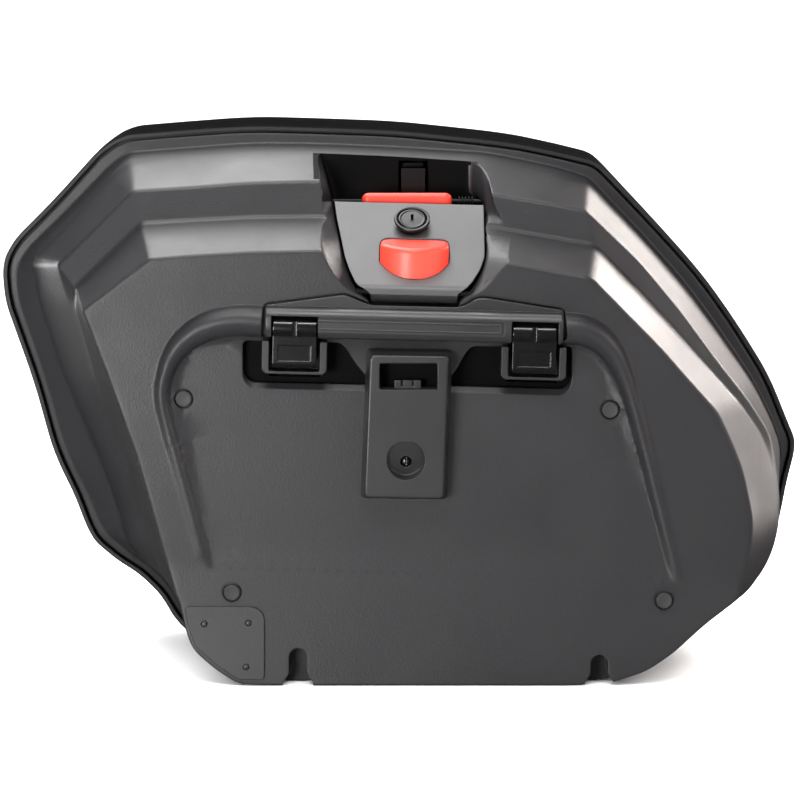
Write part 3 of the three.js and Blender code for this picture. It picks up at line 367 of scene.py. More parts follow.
def material(name, base, rough, grain=1400.0, bump=0.12, rough_var=0.08, wear=0.5, wear_color=None, metal=0.0, coat=0.0,
             spec=0.5, bevel=0.8, tint=0.06, brushed=False, speckle=0.0):
    """Procedural surface: fine moulded grain, blotchy roughness, softened and slightly worn edges."""
    m = bpy.data.materials.new(name)
    m.use_nodes = True
    nt = m.node_tree
    nt.nodes.clear()
    out = node(nt, 'ShaderNodeOutputMaterial')
    b = node(nt, 'ShaderNodeBsdfPrincipled')
    nt.links.new(b.outputs[0], out.inputs[0])
    b.inputs['Metallic'].default_value = metal
    b.inputs['Coat Weight'].default_value = coat
    b.inputs['Coat Roughness'].default_value = 0.12
    b.inputs['Specular IOR Level'].default_value = spec
    tc = node(nt, 'ShaderNodeTexCoord')
    mp = node(nt, 'ShaderNodeMapping')
    if brushed:
        mp.inputs['Scale'].default_value = (0.06, 1.0, 1.0)
    nt.links.new(tc.outputs['Object'], mp.inputs['Vector'])
    fine = node(nt, 'ShaderNodeTexNoise')
    fine.inputs['Scale'].default_value = grain
    fine.inputs['Detail'].default_value = 2.0
    fine.inputs['Roughness'].default_value = 0.6
    nt.links.new(mp.outputs[0], fine.inputs['Vector'])
    cell = node(nt, 'ShaderNodeTexVoronoi')
    cell.inputs['Scale'].default_value = grain * 0.7
    nt.links.new(tc.outputs['Object'], cell.inputs['Vector'])
    mixh = node(nt, 'ShaderNodeMath', operation='ADD')
    nt.links.new(fine.outputs[0], mixh.inputs[0])
    nt.links.new(cell.outputs['Distance'], mixh.inputs[1])
    broad = node(nt, 'ShaderNodeTexNoise')
    broad.inputs['Scale'].default_value = 14.0
    broad.inputs['Detail'].default_value = 5.0
    broad.inputs['Roughness'].default_value = 0.65
    nt.links.new(tc.outputs['Object'], broad.inputs['Vector'])
    # softened edges
    bv = node(nt, 'ShaderNodeBevel', samples=6)
    bv.inputs['Radius'].default_value = bevel * MM
    bp = node(nt, 'ShaderNodeBump')
    bp.inputs['Strength'].default_value = bump
    bp.inputs['Distance'].default_value = 0.0003
    nt.links.new(mixh.outputs[0], bp.inputs['Height'])
    nt.links.new(bv.outputs[0], bp.inputs['Normal'])
    nt.links.new(bp.outputs[0], b.inputs['Normal'])
    # roughness
    rr = node(nt, 'ShaderNodeMapRange')
    rr.inputs['From Min'].default_value = 0.25
    rr.inputs['From Max'].default_value = 0.75
    rr.inputs['To Min'].default_value = max(0.04, rough - rough_var)
    rr.inputs['To Max'].default_value = min(1.0, rough + rough_var)
    nt.links.new(broad.outputs[0], rr.inputs['Value'])
    nt.links.new(rr.outputs[0], b.inputs['Roughness'])
    # colour: broad mottling, fine speckle, worn edges
    cr = node(nt, 'ShaderNodeMix', data_type='RGBA')
    lo = tuple(c * (1 - tint) for c in base) + (1,)
    hi = tuple(min(1, c * (1 + tint)) for c in base) + (1,)
    cr.inputs[6].default_value = lo
    cr.inputs[7].default_value = hi
    nt.links.new(broad.outputs[0], cr.inputs[0])
    ge = node(nt, 'ShaderNodeNewGeometry')
    dp = node(nt, 'ShaderNodeVectorMath', operation='DOT_PRODUCT')
    nt.links.new(bv.outputs[0], dp.inputs[0])
    nt.links.new(ge.outputs['Normal'], dp.inputs[1])
    er = node(nt, 'ShaderNodeMapRange')
    er.inputs['From Min'].default_value = 0.995
    er.inputs['From Max'].default_value = 0.86
    er.inputs['To Min'].default_value = 0.0
    er.inputs['To Max'].default_value = wear
    nt.links.new(dp.outputs['Value'], er.inputs['Value'])
    brk = node(nt, 'ShaderNodeMath', operation='MULTIPLY')
    nt.links.new(er.outputs[0], brk.inputs[0])
    nt.links.new(fine.outputs[0], brk.inputs[1])
    we = node(nt, 'ShaderNodeMix', data_type='RGBA')
    wc = wear_color or tuple(min(1, c * 1.7 + 0.01) for c in base)
    we.inputs[7].default_value = tuple(wc) + (1,)
    nt.links.new(brk.outputs[0], we.inputs[0])
    nt.links.new(cr.outputs[2], we.inputs[6])
    last = we.outputs[2]
    if speckle:
        sp = node(nt, 'ShaderNodeMix', data_type='RGBA', blend_type='MULTIPLY')
        sp.inputs[0].default_value = speckle
        nt.links.new(last, sp.inputs[6])
        nt.links.new(fine.outputs[0], sp.inputs[7])
        last = sp.outputs[2]
    nt.links.new(last, b.inputs['Base Color'])
    return m


SHELL = material("moulded_shell", (0.0165, 0.0158, 0.0175), 0.43, grain=1100, bump=0.2, wear=0.3, bevel=1.6, spec=0.42)
# near-black copy of the shell: painted shade for the handle pocket, the two trays and the bracket socket
POCKET_SHADE = material("painted_pocket_shade", (0.0016, 0.0016, 0.0017), 0.55, grain=1100, bump=0.2, wear=0.2, bevel=0.8, spec=0.06)
HOOK = material("hook_black", (0.003, 0.003, 0.0034), 0.24, grain=900, bump=0.05, rough_var=0.05, wear=0.3, bevel=0.5, spec=0.6)
LID = material("moulded_lid", (0.018, 0.0175, 0.0185), 0.52, grain=1100, bump=0.2, wear=0.3, bevel=1.2, spec=0.36)
COVER = material("cover_plastic", (0.0165, 0.016, 0.017), 0.38, grain=1500, bump=0.14, wear=0.45, bevel=0.8)
FLAP = material("flap_plastic", (0.052, 0.0512, 0.053), 0.42, grain=1600, bump=0.12, wear=0.3, bevel=0.9)
RED = material("red_plastic", (0.86, 0.050, 0.028), 0.40, grain=900, bump=0.05, rough_var=0.05, wear=0.25, coat=0.04, bevel=1.4, spec=0.42,
               wear_color=(0.95, 0.16, 0.10))
DARK = material("dark_gloss", (0.0045, 0.0045, 0.005), 0.2, grain=900, bump=0.05, rough_var=0.06, wear=0.3, coat=0.4, bevel=0.5)
GUIDE = material("guide_plastic", (0.014, 0.0135, 0.0142), 0.42, grain=1500, bump=0.14, wear=0.4, bevel=0.6)
STEEL = material("zinc_steel", (0.55, 0.55, 0.56), 0.32, grain=700, bump=0.08, wear=0.4, metal=1.0, bevel=0.3, brushed=True,
                 wear_color=(0.8, 0.8, 0.8))
RUBBER = material("rubber", (0.018, 0.018, 0.018), 0.78, grain=1800, bump=0.25, wear=0.3, bevel=0.4)
PLATE = material("plate_plastic", (0.022, 0.0213, 0.0225), 0.52, grain=1300, bump=0.2, wear=0.35, bevel=0.6)
PAD = material("pad_rubber", (0.021, 0.0205, 0.0215), 0.55, grain=1500, bump=0.2, wear=0.35, bevel=0.6)

# ------------------------------------------------------------------ shell with its stepped sides
ST = arr([[p for p in s] for s in STATIONS])
ALONG = 20.0
COLS = [round_poly(ST[:, k], (20, 18, 12, 9, 8, 7)[k], 4) for k in range(6)]


def crease_at(x):
    return 76 + (64.5 - 76) * (x + 150) / 370


def wall_base(x, z):
    c = crease_at(x)
    u = (c - z) / c
    w = 0.075
    ramp = np.where(u < -w, 0.0, np.where(u > w, u, (u + w) ** 2 / (4 * w)))
    return WALL_Y - (WALL_Y - FOOT_Y) * np.clip(ramp, 0, 1)


def field_y(z):
    return PANEL_LOW_Y + (PANEL_Y - PANEL_LOW_Y) * (z - 65) / (232 - 65)


FIELD = [(-128, 75.5), (-129.4, 83), (-143.6, 136.7), (-156.4, 185.7), (-159, 205), (-153, 223), (-140, 232),
         (-122.4, 236), (109.2, 233.5), (126, 230.5), (140, 221.5), (149.5, 206), (165.3, 150), (185.1, 68), (186, 64)]
FIELD_S = round_poly(FIELD, 30, 8)
BEAD_L = [(-84, 242.2, 10.2, 9), (-90.4, 242.2, 10.2, 9), (-106, 243, 10, 8.6), (-122.4, 240.5, 9.6, 8), (-136, 234.5, 8.6, 7), (-147.5, 224, 7.2, 5.6),
          (-154.5, 210, 5.8, 4), (-157.6, 193, 5.4, 2.8), (-154, 172, 5.2, 1.8), (-147, 146, 5.2, 1.0), (-136.5, 106, 5.2, 0.2), (-132, 88, 5.2, -0.8)]
BEAD_R = [(102, 237.6, 10.2, 9), (108.8, 237.6, 10.2, 9), (121, 236.3, 9.8, 8.4), (132.5, 230.5, 9.0, 7.4), (141.5, 220.5, 7.8, 6),
          (149, 205, 6.4, 4.4), (155, 186, 5.8, 3), (162, 160, 5.4, 1.8), (171, 124, 5.2, 0.9), (180.6, 86, 5.2, 0.0), (184, 72, 5.2, -0.9)]
BL, BR = catmull(BEAD_L, 14), catmull(BEAD_R, 14)


def seg_dist(x, z, poly, closed):
    """Distance of each point to a polyline, and where along it the nearest place is."""
    p = arr(poly)[:, :2]
    q = np.roll(p, -1, 0) if closed else p[1:]
    p0 = p if closed else p[:-1]
    best = np.full(len(x), 1e9)
    where = np.zeros(len(x))
    for i in range(len(p0)):
        d = q[i] - p0[i]
        ll = d @ d
        if ll < 1e-12:
            continue
        t = np.clip(((x - p0[i, 0]) * d[0] + (z - p0[i, 1]) * d[1]) / ll, 0, 1)
        dd = np.hypot(x - p0[i, 0] - t * d[0], z - p0[i, 1] - t * d[1])
        near = dd < best
        best = np.where(near, dd, best)
        where = np.where(near, i + t, where)
    return best, where


def inside(x, z, poly):
    p = arr(poly)
    res = np.zeros(len(x), bool)
    j = len(p) - 1
    for i in range(len(p)):
        xi, zi, xj, zj = p[i, 0], p[i, 1], p[j, 0], p[j, 1]
        if zi != zj:
            hit = ((zi > z) != (zj > z)) & (x < (xj - xi) * (z - zi) / (zj - zi) + xi)
            res ^= hit
        j = i
    return res


def wall_full(x, z):
    base = wall_base(x, z)
    d, _ = seg_dist(x, z, FIELD_S, True)
    d = np.where(inside(x, z, FIELD_S), d, -d)
    w = np.interp(z, [60, 90, 140, 200, 215, 240], [5.0, 5.0, 8.0, 13.0, 12.0, 8.0])
    s = np.clip((d + 0.5) / w, 0, 1)
    s = s * s * (3 - 2 * s)
    low = np.clip((z - crease_at(x) + 3) / 16.0, 0, 1)
    y = base + (field_y(z) - base) * s * low
    for path in (BL, BR):
        dd, t = seg_dist(x, z, path, False)
        i = np.arange(len(path))
        bw, bh = np.interp(t, i, path[:, 2]), np.interp(t, i, path[:, 3])
        e = np.clip(1 - (dd / np.maximum(1.12 * bw, 0.1)) ** 2, 0, 1)
        ridge = WALL_Y + 7.5 - (bh + 7.5) * np.sqrt(e)
        k = np.interp(z, [90, 170, 215], [3.2, 2.2, 1.2])
        # blend the ridge softly with what it stands on
        h = np.clip(0.5 + 0.5 * (y - ridge) / k, 0, 1)
        mixed = y * (1 - h) + ridge * h - k * h * (1 - h)
        y = np.where(e > 0, mixed, y)
    return y


def shell_outer():
    n = len(COLS[0])
    o = [at(COLS[0], 4.0), at(COLS[0], 0.0), at(COLS[1], -1.0), at(COLS[2], -12.0), at(COLS[3], -52.0), at(COLS[4], -58.0)]
    e5 = COLS[5]
    wy = wall_base(e5[:, 0], e5[:, 1])
    k = np.where(e5[:, 1] > 100, 0.32, 0.15)
    t = (WALL_Y - wy) / 16.0
    p6 = e5 + (e5 - COLS[4]) * (k * t)[:, None]
    wy = wall_base(p6[:, 0], p6[:, 1])
    o.append(at(p6, wy))
    centre = np.array([20.0, 140.0])
    v = centre - p6
    v /= np.linalg.norm(v, axis=1, keepdims=True)
    p7 = p6 + v * 6.0
    o.append(at(p7, wall_base(p7[:, 0], p7[:, 1])))
    o = np.stack(o, 1)                       # column, ring, xyz
    radii = [None, 1.0, 1.2, 2.2, 2.2, 2.6, np.interp(COLS[5][:, 1], [40, 110], [1.4, 3.6]), None]
    rows = [o[:, 0]]
    for r in range(1, 7):
        a, b, c = o[:, r - 1], o[:, r], o[:, r + 1]
        la = np.linalg.norm(a - b, axis=1)
        lc = np.linalg.norm(c - b, axis=1)
        d = np.minimum(radii[r], 0.45 * np.minimum(la, lc))
        s = b + (a - b) * (d / np.maximum(la, 1e-9))[:, None]
        e = b + (c - b) * (d / np.maximum(lc, 1e-9))[:, None]
        for q in range(5):
            t = q / 4
            rows.append((1 - t) ** 2 * s + 2 * t * (1 - t) * b + t * t * e)
    rows.append(o[:, 7])
    verts = np.vstack(rows)
    faces = []
    for r in range(len(rows) - 1):
        for i in range(n):
            j = (i + 1) % n
            faces.append((r * n + i, r * n + j, (r + 1) * n + j, (r + 1) * n + i))
    faces.append(tuple(range(n)))
    base = (len(rows) - 1) * n
    rim = rows[-1]
    # the wall itself: points close together where the bead, the field's edge and the crease run
    pts = []
    for poly, offs in ((FIELD_S, (-6, -4, -2.5, -1, 0, 1, 2, 3, 4, 5.5, 7, 9, 11, 13, 15, 18)),):
        for d in offs:
            pts.append(offset(poly, -d) if d else arr(poly))
    for path in (BL, BR):
        c = path[:, :2]
        tan = np.gradient(c, axis=0)
        tan /= np.linalg.norm(tan, axis=1, keepdims=True)
        nor = np.stack([-tan[:, 1], tan[:, 0]], 1)
        for f in np.linspace(-math.pi / 2, math.pi / 2, 25):
            pts.append(c + nor * (path[:, 2] * 1.13 * math.sin(f))[:, None])
    xs = np.arange(-220, 250, 9.0)
    for dz in (-9, -6.5, -4.5, -3, -1.5, 0, 1.5, 3, 4.5, 6.5, 9):
        pts.append(np.stack([xs, crease_at(xs) + dz], 1))
    gx, gz = np.meshgrid(np.arange(-216, 246, 9.0), np.arange(4, 296, 9.0))
    pts.append(np.stack([gx.ravel() + 0.37, gz.ravel() + 0.21], 1))
    pts = np.vstack(pts)
    ins = inside(pts[:, 0], pts[:, 1], rim[:, [0, 2]])
    dist, _ = seg_dist(pts[:, 0], pts[:, 1], rim[:, [0, 2]], True)
    pts = pts[ins & (dist > 1.5)]
    key = np.unique(np.round(pts / 0.6).astype(int), axis=0, return_index=True)[1]
    pts = pts[np.sort(key)]
    flat = [Vector((p[0], p[2])) for p in rim] + [Vector((p[0], p[1])) for p in pts]
    res = delaunay_2d_cdt(flat, [], [list(range(n))], 1, 1e-4)
    ov, of_, orig = res[0], res[2], res[3]
    co = arr([[v.x, v.y] for v in ov])
    y = wall_full(co[:, 0], co[:, 1])
    # ease the faint lower ends of the beads
    near = np.minimum(seg_dist(co[:, 0], co[:, 1], BL, False)[0], seg_dist(co[:, 0], co[:, 1], BR, False)[0])
    free = (near < 11) & (co[:, 1] < 218) & (co[:, 1] > 66) & np.array([not [q for q in src if q < n] for src in orig])
    ed = np.array(res[1])
    for _ in range(4):
        acc, cnt = np.zeros(len(y)), np.zeros(len(y))
        for i0, i1 in ((0, 1), (1, 0)):
            np.add.at(acc, ed[:, i0], y[ed[:, i1]])
            np.add.at(cnt, ed[:, i0], 1)
        y = np.where(free, 0.45 * y + 0.55 * acc / np.maximum(cnt, 1), y)
    index = []
    extra = []
    for i, src in enumerate(orig):
        rimsrc = [s for s in src if s < n]
        if rimsrc:
            index.append(base + rimsrc[0])
        else:
            index.append(len(verts) + len(extra))
            extra.append((co[i, 0], y[i], co[i, 1]))
    verts = np.vstack([verts, arr(extra)])
    for f in of_:
        faces.append(tuple(index[i] for i in f))
    return outward(mesh_from(verts, faces, "outer"))


def inner_ring(k, d, y):
    p = offset(ST[:, k], -d)
    p[:, 1] = np.maximum(p[:, 1], FLOOR)
    return at(p, y)


POCKET = arr([
    [250.2, -20, -109, -19, -108.5, 38, -108.5, 40, -109], [257, -24, -109, -21, -107.5, 39.5, -107.5, 46, -109],
    [262, -36, -109, -28.5, -104, 46.5, -104, 58, -109], [275, -46, -109, -35, -93, 54.5, -92, 66.5, -109],
    [283, -49.5, -109, -37.5, -85, 56.8, -84, 74, -108], [292, -52, -97, -39.6, -76, 57.2, -76, 77, -76],
    [297, -52.3, -84, -41, -70, 57.4, -70, 77.6, -58.6], [307, -52.5, -58.2, -43.5, -54, 57.4, -50, 70, -56],
    [317, -52.8, -56, -45.4, -45, 57.4, -43, 62.5, -54], [330, -53.5, -52.4, -49, -42, 57.2, -32, 60.5, -38],
    [345, -56.5, -22, -53.5, -14.6, 56.6, -14.6, 58.8, -12], [350, -57.2, -14, -54.8, -14.5, 56.3, -14.5, 58, -10], [358, -58.5, -6.5, -56, -14.3, 56.2, -14.3, 58, -6]])


def pocket_ring(row, grow=0.0, soft=True):
    z, ax, ay, bx, by, cx, cy, dx, dy = row
    back = -14 + grow
    lean = float(np.interp(z, [312, 322], [0, 8]))
    p = [(ax - grow, -140), (dx + grow, -140), (dx + grow, dy), (cx + grow, min(cy, back - 0.1)), (cx - lean + grow, back),
         (bx - grow, back), (bx - grow, min(by, back - 0.1)), (ax - grow, ay)]
    if soft:
        p = round_poly(p, 4.0, 4)
    p = arr(p)
    return np.stack([p[:, 0], p[:, 1], np.full(len(p), z)], 1)


def fine_pocket():
    fine = []
    for i in range(len(POCKET) - 1):
        m = 3
        for k in range(m):
            fine.append(POCKET[i] + (POCKET[i + 1] - POCKET[i]) * k / m)
    fine.append(POCKET[-1])
    f = arr(fine)
    g = f.copy()
    for _ in range(2):
        g[1:-1] = (g[:-2] + 2 * g[1:-1] + g[2:]) / 4
    return g


FINE = fine_pocket()


def pocket_cut():
    return loft([pocket_ring(r) for r in FINE])


def pocket_walls():
    rows = [r for r in POCKET]
    rings = [pocket_ring(r, 3.0, False) for r in rows]
    a, b = rings[0].copy(), rings[-1].copy()
    a[:, 2] -= 3
    b[:, 2] += 3
    return loft([a] + rings + [b])


TRAY_L = [(-104, 229), (-104, 200), (-99, 194.2), (-21.5, 192.6), (-20.4, 199), (-36, 224), (-40, 227.5)]
TRAY_R = [(113.6, 225), (113.6, 196), (108.6, 189.6), (31.6, 191.8), (30.2, 197), (44, 221.5), (47.5, 225)]


def tray(poly, grow, deep):
    top = offset(round_poly(poly, 4, 4), grow)
    low = top.copy()
    mid = arr(poly)[:, 1].mean()
    sel = low[:, 1] < mid
    low[:, 1] = np.where(sel, low[:, 1] + 6.5, low[:, 1])
    if grow:
        return loft([at(top, -130), at(top, deep + grow)])
    return loft([at(top, -130), at(top, -104.5), at(low, -99), at(low, deep)])


def channel(g):
    return block(-95 - g, 95 + g, -130, -100 + g, -10 - g, 8 + g, gear=True)


def well(u, g):
    return block(u - 17 - g, u + 17 + g, -130, -84 + g, -38 - g, 8 + g, gear=True)


def slot_outline(x, top, h, g, fine=10):
    out = [(x + h + 4 + g, -10), (x + h + 4 + g, 1.5), (x + h + 2.4 + g, 4.4), (x + h + 0.6 + g, 6.6), (x + h + g, 9)]
    for i in range(fine + 1):
        a = math.pi * i / fine
        out.append((x + (h + g) * math.cos(a), top - h + (h + g) * math.sin(a)))
    out += [(x - h - g, 9), (x - h - 0.6 - g, 6.6), (x - h - 2.4 - g, 4.4), (x - h - 4 - g, 1.5), (x - h - 4 - g, -10)]
    return out


SLOTS = [(-67.7, 24.5, 6.0), (132.4, 20.0, 5.7)]
HOOK_U = (-78.2, 79.4)
HINGE_X = (-25, 90)


def field_block(g):
    inn = [(-124, 75.5), (-125.4, 84), (-139.4, 137), (-152, 186), (-153.5, 203), (-147, 217), (-136, 224),
           (-122.4, 227), (109.2, 224.5), (122, 222), (134, 214.5), (140, 203), (158, 148), (180, 68.5), (181, 64)]
    a = offset(FIELD, g + 3)
    b = offset(inn, g)
    return loft([at(a, WALL_Y - 8), at(offset(FIELD, g + 0.2), WALL_Y - 0.4), at(b, field_y(b[:, 1]) + g)])


def hinge_room(x):
    return prism_yz([(-6, -2), (-30, -2), (-30, 3.3), (-9, 3.3), (-8.2, 6.6), (12, 6.6), (12, -2)], x - 21, x + 21)


def moats():
    out = []
    for x, z in ((-143.1, 190.1), (139.2, 182.8), (-111.6, 61.6), (175.4, 56.2)):
        y = float(wall_full(np.array([x]), np.array([z]))[0])
        out.append(rod('y', 6.3, -130, y + 0.9, (x, z)))
    return out


COVER_EDGE = [(-90.5, 232), (-89, 253), (-37.4, 259.6), (-33.5, 258.8), (-23.5, 254.6), (-18.5, 252.9), (38.5, 251.6), (44, 253.2),
              (50, 257.2), (57.1, 257.6), (107.5, 249.6), (109.2, 230)]


def build_shell():
    cavity = loft([inner_ring(1, 2.6, 9), inner_ring(1, 2.6, 2), inner_ring(2, 3, -9.4), inner_ring(3, 3, -49),
                   inner_ring(4, 3.4, -55), inner_ring(5, 3, -105)])
    cavity = cut(cavity, pocket_walls(), channel(3), tray(TRAY_L, 3, -94), tray(TRAY_R, 3, -94), well(HOOK_U[0], 3), well(HOOK_U[1], 3),
                 field_block(3), *[prism_xz(slot_outline(*s, 3), -140, -98) for s in SLOTS])
    me = shell_outer()
    gap = prism_xz(offset(round_poly([to_uv(*p) for p in COVER_EDGE], 3, 3), 0.9), -130, -106.2, gear=True)
    return cut(me, cavity, *moats(), gap, pocket_cut(), channel(0), tray(TRAY_L, 0, -94), tray(TRAY_R, 0, -94), well(HOOK_U[0], 0), well(HOOK_U[1], 0),
               *[prism_xz(slot_outline(*s, 0), -140, -101) for s in SLOTS], *[hinge_room(x) for x in HINGE_X],
               block(-1, 19, -16, -9, 318, 343), rod('x', 2.15, -38.6, 38.4, (-103.6, 20.8), gear=True), rod('x', 1.95, -47.6, 59.4, (-27, 316)))


def in_pocket_shade(c, n):
    """True for the unlit faces down in the handle pocket and in the two trays, which get the near-black painted shade.
    """
    x, y, z = c
    if z > 310 and n[0] < -0.3 and x > 40:
        return False
    if 258 < z < 358.2:
        row = [float(np.interp(z, FINE[:, 0], FINE[:, k])) for k in range(9)]
        ring = pocket_ring(row, 0.2, True)[:, :2]
        if inside(np.array([x]), np.array([y]), ring)[0] and row[3] - 0.6 < x < row[5] + 0.6:
            return True
        if z > 316 and y > row[2] + 0.8 and row[1] - 0.2 < x < row[3] and inside(np.array([x]), np.array([y]), ring)[0]:
            return True
    if -99.2 < y < -88:
        for t in (TRAY_L, TRAY_R):
            if inside(np.array([x]), np.array([z]), offset(t, 0.6))[0]:
                return True
    return False


# the shell's unlit pocket and tray faces get the near-black painted-shade material
piece("shell_visual", build_shell(), "base", SHELL, ("inner_shell",), angle=38, second=POCKET_SHADE, where=in_pocket_shade)


# ------------------------------------------------------------------ lid, gasket, trim
def swell(poly, d, rise, drop):
    p = arr(poly).copy()
    t = np.clip(p[:, 1] / 366, 0, 1)
    s = np.clip(p[:, 0] / 274, -1, 1)
    return np.stack([p[:, 0] - s * d, p[:, 1] + rise * t * t + drop * (1 - t) ** 2], 1)


def raised(poly, z0):
    p = arr(poly).copy()
    p[:, 1] = np.maximum(p[:, 1], z0)
    return p


RIM = ST[:, 0]
L1 = raised(offset(RIM, 4.8), 0.9)
L2, L3, L4, L5, L6 = swell(L1, 0.5, 2, 0.6), swell(L1, 3, 4.4, 4), swell(L1, 9, 1, 12), swell(L1, 22, -9, 26), swell(L1, 46, -32, 46)


def fillet_rows(stack, radii, q=5):
    """Rows of a skin whose columns are corner-rounded; stack is a list of rings."""
    o = np.stack(stack, 1)
    rows = [o[:, 0]]
    for r in range(1, len(stack) - 1):
        a, b, c = o[:, r - 1], o[:, r], o[:, r + 1]
        la, lc = np.linalg.norm(a - b, axis=1), np.linalg.norm(c - b, axis=1)
        d = np.minimum(radii[r], 0.48 * np.minimum(la, lc))
        s = b + (a - b) * (d / np.maximum(la, 1e-9))[:, None]
        e = b + (c - b) * (d / np.maximum(lc, 1e-9))[:, None]
        for k in range(q):
            t = k / (q - 1)
            rows.append((1 - t) ** 2 * s + 2 * t * (1 - t) * b + t * t * e)
    rows.append(o[:, -1])
    return rows


def soft(poly):
    return round_poly(poly, ALONG, 4)


def lid_in(poly, d, y):
    return at(raised(offset(poly, -d), FLOOR), y)


def build_lid():
    rings = [at(offset(soft(L1), -0.7), -1.0), at(soft(L1), -0.3), at(soft(L1), 10), at(soft(L2), 30), at(soft(L3), 62), at(soft(L4), 92),
             at(soft(L5), 108), at(soft(L6), 116), at(offset(soft(L6), -6), 116)]
    outer = loft(fillet_rows(rings, [0, 0.6, 9, 12, 16, 14, 12, 6, 0]))
    cavity = loft([lid_in(RIM, 3.2, -4), lid_in(RIM, 3.2, 12), lid_in(L2, 3.4, 30), lid_in(L3, 3.4, 60), lid_in(L4, 3.8, 88), lid_in(L5, 4.4, 103),
                   lid_in(L6, 4.4, 111)])
    lip = loft([at(offset(soft(RIM), 1.7), -4), at(offset(soft(RIM), 1.7), 7.6)])
    rooms = []
    for x in HINGE_X:
        rooms.append(prism_yz([(-12, -3), (0.9, -3), (0.9, 6.6), (-12, 6.6)], x - 21, x + 21))
        rooms.append(prism_yz([(-2, -3), (26, -3), (26, 3.6), (-2, 3.6)], x - 8.4, x + 8.4))
    return cut(outer, cavity, lip, *rooms)


piece("lid_visual", build_lid(), "lid", LID, ("lid_shell",), angle=40)


def build_gasket():
    def ring(d, y):
        return at(raised(offset(soft(RIM), d), 5.6 - (d + 0.2)), y)
    return cut(loft([ring(-0.7, 4.4), ring(-0.2, 4.9), ring(-0.2, 6.7), ring(-0.7, 7.2)]), loft([ring(-3.4, -2), ring(-3.4, 20)]))


piece("gasket_visual", build_gasket(), "lid", RUBBER, ("lid_gasket",), angle=40)


def build_trim():
    c = arr(L6).mean(axis=0)
    # an even outline about the middle, so that every inner ring keeps its shape
    full = arr(L6)
    ang = np.linspace(0, 2 * math.pi, 160, endpoint=False)
    rim = []
    for a in ang:
        d = np.array([math.cos(a), math.sin(a)])
        best = 1e9
        for k in range(len(full)):
            q0, q1 = full[k] - c, full[(k + 1) % len(full)] - c
            e = q1 - q0
            den = d[0] * e[1] - d[1] * e[0]
            if abs(den) < 1e-9:
                continue
            t = (q0[0] * e[1] - q0[1] * e[0]) / den
            u = (q0[0] * d[1] - q0[1] * d[0]) / den
            if t > 0 and -1e-6 <= u <= 1 + 1e-6:
                best = min(best, t)
        rim.append(best)
    rim = arr(rim)
    for _ in range(5):
        rim = (np.roll(rim, 1) + 2 * rim + np.roll(rim, -1)) / 4
    rows = []
    for d, y in ((9, 116.4), (9, 118.2), (9.3, 119.0), (10, 119.6), (11.2, 119.9), (13, 120), (19, 120), (19.5, 119.8), (20, 118.7),
                 (22.4, 118.7), (22.9, 119.8), (23.4, 120)):
        rr = (rim - d)[:, None]
        rows.append(at(c + np.stack([np.cos(ang), np.sin(ang)], 1) * rr, y))
    for f in (0.93, 0.7, 0.4, 0.15):
        rr = ((rim - 23.4) * f)[:, None]
        rows.append(at(c + np.stack([np.cos(ang), np.sin(ang)], 1) * rr, 120 if f > 0.9 else 119.99))
    return loft(rows)


piece("trim_visual", build_trim(), "lid", SHELL, ("lid_trim_panel",), angle=40)


# ------------------------------------------------------------------ cover over the hook shaft
SHAFT_Y, SHAFT_V = -109.5, -4.0


def cover_profile(r, n=2.0, steps=44, inset=0.0):
    out = []
    a0 = math.acos(1.1 / 10.5) if n != 2.0 else math.acos(1.1 / r)
    for i in range(steps + 1):
        a = a0 + (2 * math.pi - 2 * a0) * i / steps
        c, s = math.cos(a), math.sin(a)
        y = (r - inset) * math.copysign(abs(c) ** (2 / n), c)
        v = (r - inset) * math.copysign(abs(s) ** (2 / n), s)
        out.append((min(SHAFT_Y + y, -108.4), v))
    out[0] = (-108.4, out[0][1])
    out[-1] = (-108.4, out[-1][1])
    return out


def build_cover():
    rings = []
    for x, d in ((-98, 1.3), (-97.7, 0.6), (-97.1, 0.15), (-96.4, 0), (96.4, 0), (97.1, 0.15), (97.7, 0.6), (98, 1.3)):
        p = arr(cover_profile(10.5, 2.7, inset=d))
        rings.append(np.stack([np.full(len(p), x), p[:, 0], p[:, 1]], 1))
    body = loft(rings, gear=True)
    edge = [(-89, 248), (-89, 253), (-37.4, 259.6), (-33.5, 258.8), (-23.5, 254.6), (-18.5, 252.9), (38.5, 251.6), (44, 253.2),
            (50, 257.2), (57.1, 257.6), (107.5, 249.6), (107.5, 246)]
    edge = [to_uv(*p) for p in edge]
    e = round_poly(edge, 3.0, 3)
    plate = loft([at(e, -108.4), at(e, -111.2), at(offset(e, -0.45), -111.6)], gear=True)
    body = join(body, plate)
    win = [block(u - 15.4, u + 15.4, -130, -100, -20, 4.55, gear=True) for u in HOOK_U]
    hollow = prism_yz(cover_profile(8.0), -95.7, 95.7, gear=True)
    rec = prism_xz(rounded(-65, 59.6, -5.4, 3.6, 1.6), -125, -119.15, gear=True)
    body = cut(body, *win, hollow, rec)
    # a plain raised frame where the maker's words would be
    frame_ = cut(prism_xz(rounded(-63, 57.6, -3.9, 2.2, 1.0), -119.55, -118.6, gear=True),
                 prism_xz(rounded(-62.2, 56.8, -3.1, 1.4, 0.7), -121, -117, gear=True))
    return join(body, frame_)


piece("cover_visual", build_cover(), "base", COVER, ("mechanism_cover",), angle=35)


